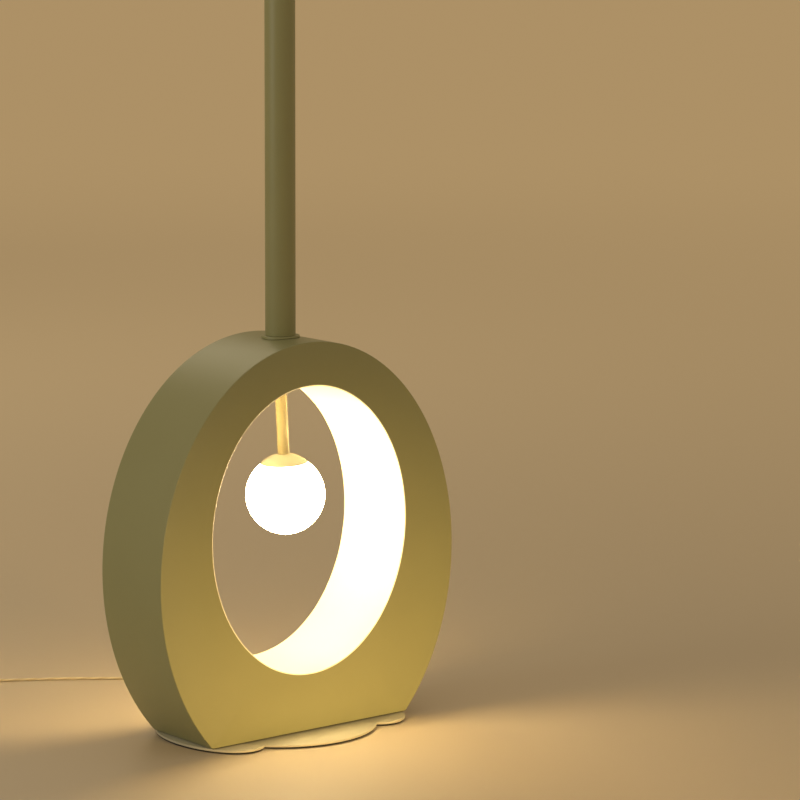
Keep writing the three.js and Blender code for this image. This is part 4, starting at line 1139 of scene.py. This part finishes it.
finial_low, finial_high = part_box("shade_finial")
finial_ball = finial_high.x
finial_foot_radius = 0.005
finial_foot_height = 0.0022
finial_neck_radius = 0.0042
finial_neck_rise = 0.0006
finial_edge = 0.0008
finial_foot_top = finial_low.z + finial_foot_height
finial_bore_top = stud_high.z + bolt_gap
finial = turned("finial", [
    (shade_hole, finial_low.z),
    *foot_corner(finial_foot_radius, finial_low.z, finial_edge),
    *head_corner(finial_foot_radius, finial_foot_top, finial_edge),
    (finial_neck_radius, finial_foot_top + finial_neck_rise),
    *arc((0, finial_high.z - finial_ball), finial_ball, -58, 90, 32),
    (0, finial_bore_top),
    (shade_hole, finial_bore_top),
    (shade_hole, finial_low.z),
], small_segments)
dressed(smooth(finial), brass, nodes=["shade_finial"])


# The cord gland in the back sheet is moulded in ivory plastic, with a ribbed strain relief. A nut inside
# the ring holds it.
ivory_plastic = Finish("ivory_plastic", roughness=0.42)
spark_texture = ivory_plastic.noise(0.0005, detail=2)
ivory_patches = ivory_plastic.noise(0.03)
ivory_plastic.drive(
    base_color=ivory_plastic.mixed(ivory_patches, paint_rgb(226, 219, 200), paint_rgb(233, 227, 210)),
    roughness=spark_texture * 0.15 + 0.36,
    normal=ivory_plastic.bump(spark_texture, peel_height),
)
cord_play = 0.00035
cord_bore = cord_radius + cord_play
rib_depth = 0.0005
# Each rib's points: how far along its pitch, and how deep below its top as a share of the rib's depth.
rib_shares = ((0.0, 1), (0.12, 0.3), (0.3, 0), (0.6, 0), (0.78, 0.3), (0.9, 1))


def ribbed(low, high, low_radius, high_radius, ribs):
    """The outside of a tapered strain relief, with rounded ribs and grooves between them."""
    section = []
    pitch = (high - low) / ribs
    for i in range(ribs):
        for share, drop in rib_shares:
            z = low + (i + share) * pitch
            taper = low_radius + (high_radius - low_radius) * (z - low) / (high - low)
            section.append((taper - drop * rib_depth, z))
    section.append((high_radius, high))
    return section


gland_low, gland_high = gland_box
gland_flange_radius = gland_high.x
gland_flange_thickness = 0.003
gland_flange_edge = 0.001
gland_chamfer = 0.0006
gland_neck_radius = 0.0052
relief_tip_radius = 0.0027
gland_ribs = 8
gland_length = gland_high.y - back_high.y
gland_start = gland_low.y - back_high.y
gland = turned("gland", [
    (cord_bore, gland_start),
    (gland_shank_radius - gland_chamfer, gland_start),
    (gland_shank_radius, gland_start + gland_chamfer),
    (gland_shank_radius, 0),
    (gland_flange_radius, 0),
    *head_corner(gland_flange_radius, gland_flange_thickness, gland_flange_edge, 5),
    *ribbed(gland_flange_thickness, gland_length, gland_neck_radius, relief_tip_radius, gland_ribs),
    (cord_bore, gland_length),
    (cord_bore, gland_start),
], small_segments)
from_back = Matrix.Translation(gland_place) @ Matrix.Rotation(math.radians(-90), 4, "X")
dressed(smooth(moved(gland, from_back)), ivory_plastic, nodes=["cord_gland"])


# The foot switch: a base tray and a cover moulded in ivory plastic, screwed together round the cord, with a
# round button that springs back. Its shells have a two millimetre wall and screw bosses in two corners.
base_low, base_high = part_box("switch_base")
cover_low, cover_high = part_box("switch_cover")
button_low, button_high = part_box("switch_button")
switch_centre = (base_low + base_high) / 2
switch_corner = 0.012
switch_wall = 0.002
parting_chamfer = 0.0003
boss_radius = 0.0045
boss_sides = 32
boss_bore = 0.0017
screw_head_bore = 0.0029
head_bore_top = 0.004
lid_bore_top = 0.016
boss_offset = Vector((0.027, 0.011, 0))
boss_places = [(place.x, place.y) for place in (switch_centre + boss_offset, switch_centre - boss_offset)]
tray_edge = 0.0012
lid_edge = 0.0028
button_radius = 0.013
cord_hole = 0.0032
split = base_high.z


def switch_shell(name, low, high, open_side, edge):
    """A rounded tray, open at the split between base and cover."""
    shell = block(name, low, high)
    edit(shell)
    pick("edges", lambda e: abs(e.verts[0].co.z - e.verts[1].co.z) > same_place)
    bpy.ops.mesh.bevel(offset=switch_corner, segments=10, affect="EDGES")
    pick("faces", lambda f: f.normal.z * open_side < -0.9)
    bpy.ops.mesh.region_to_loop()
    bpy.ops.mesh.bevel(offset=edge, segments=5, affect="EDGES")
    pick("faces", lambda f: f.normal.z * open_side > 0.9)
    bpy.ops.mesh.region_to_loop()
    bpy.ops.mesh.bevel(offset=parting_chamfer, segments=1, affect="EDGES")
    pick("faces", lambda f: f.normal.z * open_side > 0.9)
    bpy.ops.mesh.delete(type="ONLY_FACE")
    done()
    return modified(shell, "SOLIDIFY", thickness=switch_wall, offset=-1, use_even_offset=True)


def boss(low, high, radius, place):
    return cylinder(radius, low, high, place, boss_sides)


tray = switch_shell("switch_tray", base_low, base_high, 1, tray_edge)
lid = switch_shell("switch_lid", cover_low, cover_high, -1, lid_edge)
for place in boss_places:
    carved(tray, boss(base_low.z + switch_wall / 2, split, boss_radius, place), "UNION")
    carved(tray, boss(base_low.z - switch_wall, split + switch_wall, boss_bore, place))
    carved(tray, boss(base_low.z - switch_wall, head_bore_top, screw_head_bore, place))
    carved(lid, boss(split, cover_high.z - switch_wall / 2, boss_radius, place), "UNION")
    carved(lid, boss(split - switch_wall, lid_bore_top, boss_bore, place))

rim_inner = button_radius + bolt_gap
rim_width = 0.0026
rim_outer_round = 0.0008
rim_inner_round = 0.0006
rim_rise = 0.0002
rim_foot = cover_high.z - switch_wall / 2
rim = turned("rim", [
    (rim_inner, rim_foot),
    (rim_inner + rim_width, rim_foot),
    *arc((rim_inner + rim_width - rim_outer_round, cover_high.z), rim_outer_round, 0, 90, 4),
    *arc((rim_inner + rim_inner_round, cover_high.z + rim_rise), rim_inner_round, 90, 180, 4),
    (rim_inner, rim_foot),
])
button_axis = (switch_centre.x, switch_centre.y)
opening_foot = cover_high.z - 2 * switch_wall
carved(lid, cylinder(rim_inner, opening_foot, cover_high.z + switch_wall, button_axis, turned_segments))
carved(lid, moved(rim, Matrix.Translation((*button_axis, 0))), "UNION")
cord_way = base_high.x - base_low.x + 2 * switch_wall
for shell in (tray, lid):
    carved(shell, lying_cylinder(cord_hole, cord_way, (switch_centre.x, switch_y, split), along_x))
dressed(smooth(tray), ivory_plastic, nodes=["switch_base"])
dressed(smooth(lid), ivory_plastic, nodes=["switch_cover"])

button_flange_radius = (button_high.x - button_low.x) / 2
button_flange_top = 0.0177
button_flange_bottom = 0.0157
button_stem_radius = 0.003
button_edge = 0.0018
grip_rings = 5
grip_height = 0.0003
dish_depth = 0.0006
# Each grip ring's points: how far across its pitch, and how high as a share of the grip's height.
grip_shares = ((0.2, 0), (0.35, 1), (0.65, 1), (0.8, 0))
grip = []
for i in range(grip_rings):
    for share, rise in grip_shares:
        r = (button_radius - 2 * button_edge) * (1 - (i + share) / (grip_rings + 0.5))
        sag = dish_depth * (1 - (r / (button_radius - button_edge)) ** 2)
        grip.append((r, button_high.z - grip_height - sag + rise * grip_height))
button = turned("switch_push", [
    (0, button_low.z),
    (button_stem_radius, button_low.z),
    (button_stem_radius, button_flange_bottom),
    (button_flange_radius, button_flange_bottom),
    (button_flange_radius, button_flange_top),
    (button_radius, button_flange_top),
    *head_corner(button_radius, button_high.z, button_edge, 8),
    *grip,
    (0, button_high.z - grip_height - dish_depth),
])
moved(button, Matrix.Translation((*button_axis, 0)))
dressed(smooth(button), ivory_plastic, body="button", nodes=["switch_button"])


# The button's return spring is wound from zinc plated wire. It stands on the contact module, and it
# shortens when the button is pressed.
zinc_steel = Finish("zinc_steel", roughness=0.35, metallic=1.0)
spangle = zinc_steel.node("TexVoronoi", None, {"Vector": zinc_steel.place(), "Scale": 1 / 0.003})
zinc_steel.drive(
    base_color=zinc_steel.mixed(spangle, paint_rgb(172, 173, 168), paint_rgb(190, 190, 186)),
    roughness=spangle * 0.15 + 0.28,
)
spring_low, spring_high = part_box("switch_spring")
spring_height = spring_high.z - spring_low.z
spring_wire_radius = 0.0005
spring_radius = (spring_high.x - spring_low.x) / 2 - spring_wire_radius
spring_turns = 3
spring_sides = 12
spring_steps = steps_per_turn * spring_turns
spring_foot = (*button_axis, spring_low.z)
spring_line = []
for i in range(spring_steps + 1):
    share = i / spring_steps
    angle = 2 * math.pi * spring_turns * share
    rise = share**2 * (3 - 2 * share) * (spring_height - 2 * spring_wire_radius) + spring_wire_radius
    spoke = (spring_radius * math.cos(angle), spring_radius * math.sin(angle), rise)
    spring_line.append(Vector(spring_foot) + Vector(spoke))
spring = laid_tube("return_spring", spring_line, spring_wire_radius, spring_sides)
dressed(spring, zinc_steel, nodes=["switch_spring"])
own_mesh(spring)


# The grommets are moulded in the same ivory plastic. They grip the cord in both ends of the switch, and
# their ribs keep it from bending sharply.
grommet_flange_radius = 0.0044
grommet_flange_thickness = 0.0015
grommet_shank = 0.0029
grommet_relief_length = 0.0105
grommet_edge = 0.0006
grommet_neck_radius = 0.0036
grommet_tip_radius = 0.0023
grommet_ribs = 4
grommet_foot = -2 * switch_wall
grommet_reach = grommet_flange_thickness + grommet_relief_length
for number, side in ((1, 1), (2, -1)):
    grommet_low, grommet_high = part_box(f"switch_grommet_{number}")
    grommet = turned(f"grommet_{number}", [
        (cord_bore, grommet_foot),
        (grommet_shank, grommet_foot),
        (grommet_shank, 0),
        (grommet_flange_radius, 0),
        *head_corner(grommet_flange_radius, grommet_flange_thickness, grommet_edge),
        *ribbed(
            grommet_flange_thickness, grommet_reach, grommet_neck_radius, grommet_tip_radius, grommet_ribs
        ),
        (cord_bore, grommet_reach),
        (cord_bore, grommet_foot),
    ], slim_segments)
    face_x = grommet_high.x - grommet_reach if side > 0 else grommet_low.x + grommet_reach
    along = Matrix.Translation((face_x, switch_y, split)) @ Matrix.Rotation(math.radians(90 * side), 4, "Y")
    dressed(smooth(moved(grommet, along)), ivory_plastic, nodes=[f"switch_grommet_{number}"])


# The coil's tie is a thin black rubber strap with rounded corners. It goes round all the turns, on the side
# away from the coil's ends.
tie_low, tie_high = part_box("cord_tie")
tie_corner = 0.0016
tie_sheet = 0.0005
tie_edge = 0.00015
tie_rubber = Finish("tie_rubber", roughness=0.6)
tie_rubber.drive(
    base_color=tie_rubber.mixed(tie_rubber.noise(0.004), paint_rgb(38, 37, 35), paint_rgb(50, 48, 45)),
    normal=tie_rubber.bump(tie_rubber.noise(0.0006), 0.00004),
)
tie = block("coil_tie", tie_low, tie_high)
edit(tie)
pick("edges", lambda e: abs(e.verts[0].co.y - e.verts[1].co.y) > same_place)
bpy.ops.mesh.bevel(offset=tie_corner, segments=6, affect="EDGES")
pick("faces", lambda f: abs(f.normal.y) > 0.9)
bpy.ops.mesh.delete(type="ONLY_FACE")
done()
modified(tie, "SOLIDIFY", thickness=tie_sheet, offset=-1, use_even_offset=True)
edges_broken(tie, tie_edge)
dressed(smooth(tie), tie_rubber, nodes=["cord_tie"])


# The mains plug is moulded round two nickel plated pins, whose rear halves are sleeved. It tapers to a
# ribbed neck, and shallow grooves on both sides give it grip.
plug_box_low, plug_box_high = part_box("plug_body")
plug_front = plug_box_low.y
plug_grip_length = 0.022
plug_length = 0.036
plug_shoulder_y = plug_front + plug_grip_length
plug_rear_y = plug_front + plug_length
plug_width = plug_box_high.x - plug_box_low.x
plug_thick = plug_box_high.z
plug_rear_width = 0.016
plug_rear_thick = 0.011
plug_edge = 0.0024
front_corner = Vector((coil_x - plug_width / 2, plug_front, 0))
shoulder_corner = Vector((coil_x + plug_width / 2, plug_shoulder_y, plug_thick))
plug = block("plug", front_corner, shoulder_corner)
edit(plug)
pick("faces", lambda f: f.normal.y > 0.9)
bpy.ops.mesh.extrude_region_move(TRANSFORM_OT_translate={"value": (0, plug_rear_y - plug_shoulder_y, 0)})
bpy.ops.transform.resize(
    value=(plug_rear_width / plug_width, 1, plug_rear_thick / plug_thick),
    center_override=(coil_x, plug_rear_y, plug_thick / 2),
)
bpy.ops.mesh.select_all(action="SELECT")
bpy.ops.mesh.normals_make_consistent(inside=False)
bpy.ops.mesh.bevel(offset=plug_edge, segments=6, affect="EDGES")
done()

neck_length = plug_box_high.y - plug_rear_y
neck_overlap = 0.003
neck_radius = 0.0046
neck_ribs = 6
neck = turned("neck", [
    (0, -neck_overlap),
    (neck_radius, -neck_overlap),
    *ribbed(0.0, neck_length, neck_radius, relief_tip_radius, neck_ribs),
    (0, neck_length),
], small_segments)
to_plug_rear = Matrix.Translation((coil_x, plug_rear_y, plug_axis_z))
along_neck = to_plug_rear @ Matrix.Rotation(math.radians(-90), 4, "X")
carved(plug, moved(neck, along_neck), "UNION")
bore_length = plug_mouth_y - cord_end_y + bolt_gap
bore_place = (coil_x, (plug_mouth_y + cord_end_y) / 2, plug_axis_z)
carved(plug, lying_cylinder(cord_bore, bore_length, bore_place, along_y, 32))

groove_radius = 0.0008
groove_pitch = 0.0042
groove_start = 0.006
groove_count = 4
groove_sides = 16
groove_width_share = 0.62
for side in (0, plug_thick):
    for i in range(groove_count):
        groove_place = (coil_x, plug_front + groove_start + i * groove_pitch, side)
        groove_length = plug_width * groove_width_share
        carved(plug, lying_cylinder(groove_radius, groove_length, groove_place, along_x, groove_sides))
dressed(smooth(plug), ivory_plastic, nodes=["plug_body"])

nickel = Finish("brass", roughness=0.22, metallic=1.0)
nickel.drive(
    base_color=nickel.mixed(nickel.noise(0.01), paint_rgb(205, 200, 188), paint_rgb(214, 210, 200)),
    roughness=nickel.noise(0.002) * 0.15 + 0.18,
)
pin_sleeve = 0.0095
sleeve_step = 0.0002
pin_tip_round = 0.001
pin_segments = 40
for number in (1, 2):
    pin_low, pin_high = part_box(f"plug_pin_{number}")
    pin_radius = (pin_high.x - pin_low.x) / 2
    pin_length = pin_high.y - pin_low.y
    pin = turned(f"pin_{number}", [
        (0, 0),
        (pin_radius, 0),
        (pin_radius, pin_sleeve),
        (pin_radius - sleeve_step, pin_sleeve + sleeve_step),
        *head_corner(pin_radius - sleeve_step, pin_length, pin_tip_round, 6),
        (0, pin_length),
    ], pin_segments)
    forward = Matrix.Translation(((pin_low.x + pin_high.x) / 2, pin_high.y, plug_axis_z))
    moved(pin, forward @ Matrix.Rotation(math.radians(90), 4, "X"))
    dressed(smooth(pin), nickel, nodes=[f"plug_pin_{number}"])
    pin.data.materials.append(ivory_plastic.material)
    for face in pin.data.polygons:
        if face.center.y > pin_high.y - pin_sleeve:
            face.material_index = 1


# The lamp's lead carries the gland and the foot switch, and the spare cord the tie and the plug. Their
# lengths are measured along their lines, and the values are not kept.
length_of(lamp_lead_line)
length_of(spare_line)


# The screws and what is inside the ring, the pole, the globe and the switch keep their own mesh. Each of them
# gets the finish that its material slot names.
ballast_iron = Finish("ballast_iron", roughness=0.8, metallic=0.5)
cast_skin = ballast_iron.noise(0.0018, detail=4)
ballast_iron.drive(
    base_color=ballast_iron.mixed(cast_skin, paint_rgb(66, 66, 64), paint_rgb(84, 83, 80)),
    normal=ballast_iron.bump(cast_skin, 0.0002),
)
wire_sheath = Finish("wire_sheath", roughness=0.5)
wire_sheath.drive(
    base_color=wire_sheath.mixed(wire_sheath.noise(0.01), paint_rgb(210, 204, 186), paint_rgb(220, 214, 198))
)
finishes = [brass, ceramic, ivory_plastic, zinc_steel, ballast_iron, wire_sheath, bulb_opal, tie_rubber]
finish_of = {finish.name: finish for finish in finishes}
for subpart in frame["record"]["subparts"]:
    if subpart["node"] not in stood_for:
        inside = frame["nodes"][subpart["node"]]
        inside.data.materials.clear()
        inside.data.materials.append(finish_of[subpart["material_slot"]].material)


# A plain pale floor that runs on to the horizon, an even sky that looks like it, two soft boxes, and a low
# spot in front that warms the floor at the lamp's foot. The floor's colour is darker round the lamp than far
# off: painted shade that deepens the shadows round the lamp's foot.
floor_size = 120
near_painted_shade_tone = (0.46, 0.374, 0.263, 1)
far_tone = (1.0, 0.78, 0.46, 1)
tone_start = -2.0
tone_end = 6.5
fresh()
bpy.ops.mesh.primitive_plane_add(size=floor_size, location=(0, 0, 0))
floor = bpy.context.object
floor.name = "floor"
floor_finish = Finish("pale_floor", roughness=0.6)
from_lamp = floor_finish.node("VectorMath", {"operation": "LENGTH"}, {0: floor_finish.place()}, output=1)
near_to_far = floor_finish.node(
    "MapRange", {"interpolation_type": "SMOOTHSTEP"}, {0: from_lamp, 1: tone_start, 2: tone_end}
)
floor_finish.drive(base_color=floor_finish.mixed(near_to_far, near_painted_shade_tone, far_tone))
floor.data.materials.append(floor_finish.material)
floor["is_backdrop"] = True

sky_colour = (1.0, 0.87, 0.68, 1)
sky_strength = 0.42
backdrop_colour = (0.42, 0.29, 0.14, 1)
world = bpy.data.worlds.new("studio")
bpy.context.scene.world = world
world.use_nodes = True
nodes = world.node_tree.nodes
links = world.node_tree.links
sky = nodes["Background"]
sky.inputs["Color"].default_value = sky_colour
sky.inputs["Strength"].default_value = sky_strength
backdrop = nodes.new("ShaderNodeBackground")
backdrop.inputs["Color"].default_value = backdrop_colour
backdrop.inputs["Strength"].default_value = 1.0
rays = nodes.new("ShaderNodeLightPath")
either = nodes.new("ShaderNodeMixShader")
seen = nodes.new("ShaderNodeMath")
seen.operation = "MAXIMUM"
links.new(rays.outputs["Is Camera Ray"], seen.inputs[0])
links.new(rays.outputs["Is Glossy Ray"], seen.inputs[1])
links.new(seen.outputs[0], either.inputs[0])
links.new(sky.outputs[0], either.inputs[1])
links.new(backdrop.outputs[0], either.inputs[2])
links.new(either.outputs[0], nodes["World Output"].inputs["Surface"])


light_aim = (0, 0, 0.3)
spot_aim = (0.03, -0.05, -0.03)


def placed_light(kind, name, place, aim, power, colour):
    """A lamp of the studio, turned towards its aim and unseen by the camera."""
    bpy.ops.object.light_add(type=kind, location=place)
    light = bpy.context.object
    light.name = name
    light.data.energy = power
    light.data.color = colour
    light.rotation_euler = (Vector(place) - Vector(aim)).to_track_quat("Z", "Y").to_euler()
    light.visible_camera = False
    return light


def soft_box(name, place, power, colour, size):
    """A round soft box."""
    light = placed_light("AREA", name, place, light_aim, power, colour)
    light.data.shape = "DISK"
    light.data.size = size


soft_box("high_softbox", place=(0.7, 2.4, 2.1), power=9, colour=(1, 0.87, 0.64), size=1.3)
soft_box("left_softbox", place=(-2.6, 0.3, 0.9), power=11, colour=(0.97, 0.98, 0.88), size=1.2)

spot_softness = 0.25
spot_angle = math.radians(16)
spot_widening = 1.7
low_spot = placed_light(
    "SPOT", "low_front_spot", place=(0.1, -2.0, 0.12), aim=spot_aim, power=250, colour=(1, 0.66, 0.24)
)
low_spot.data.shadow_soft_size = spot_softness
low_spot.data.spot_size = spot_angle
low_spot.data.spot_blend = 1.0
low_spot.scale.x = spot_widening

scene = bpy.context.scene
scene.view_settings.view_transform = "Standard"

low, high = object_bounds()
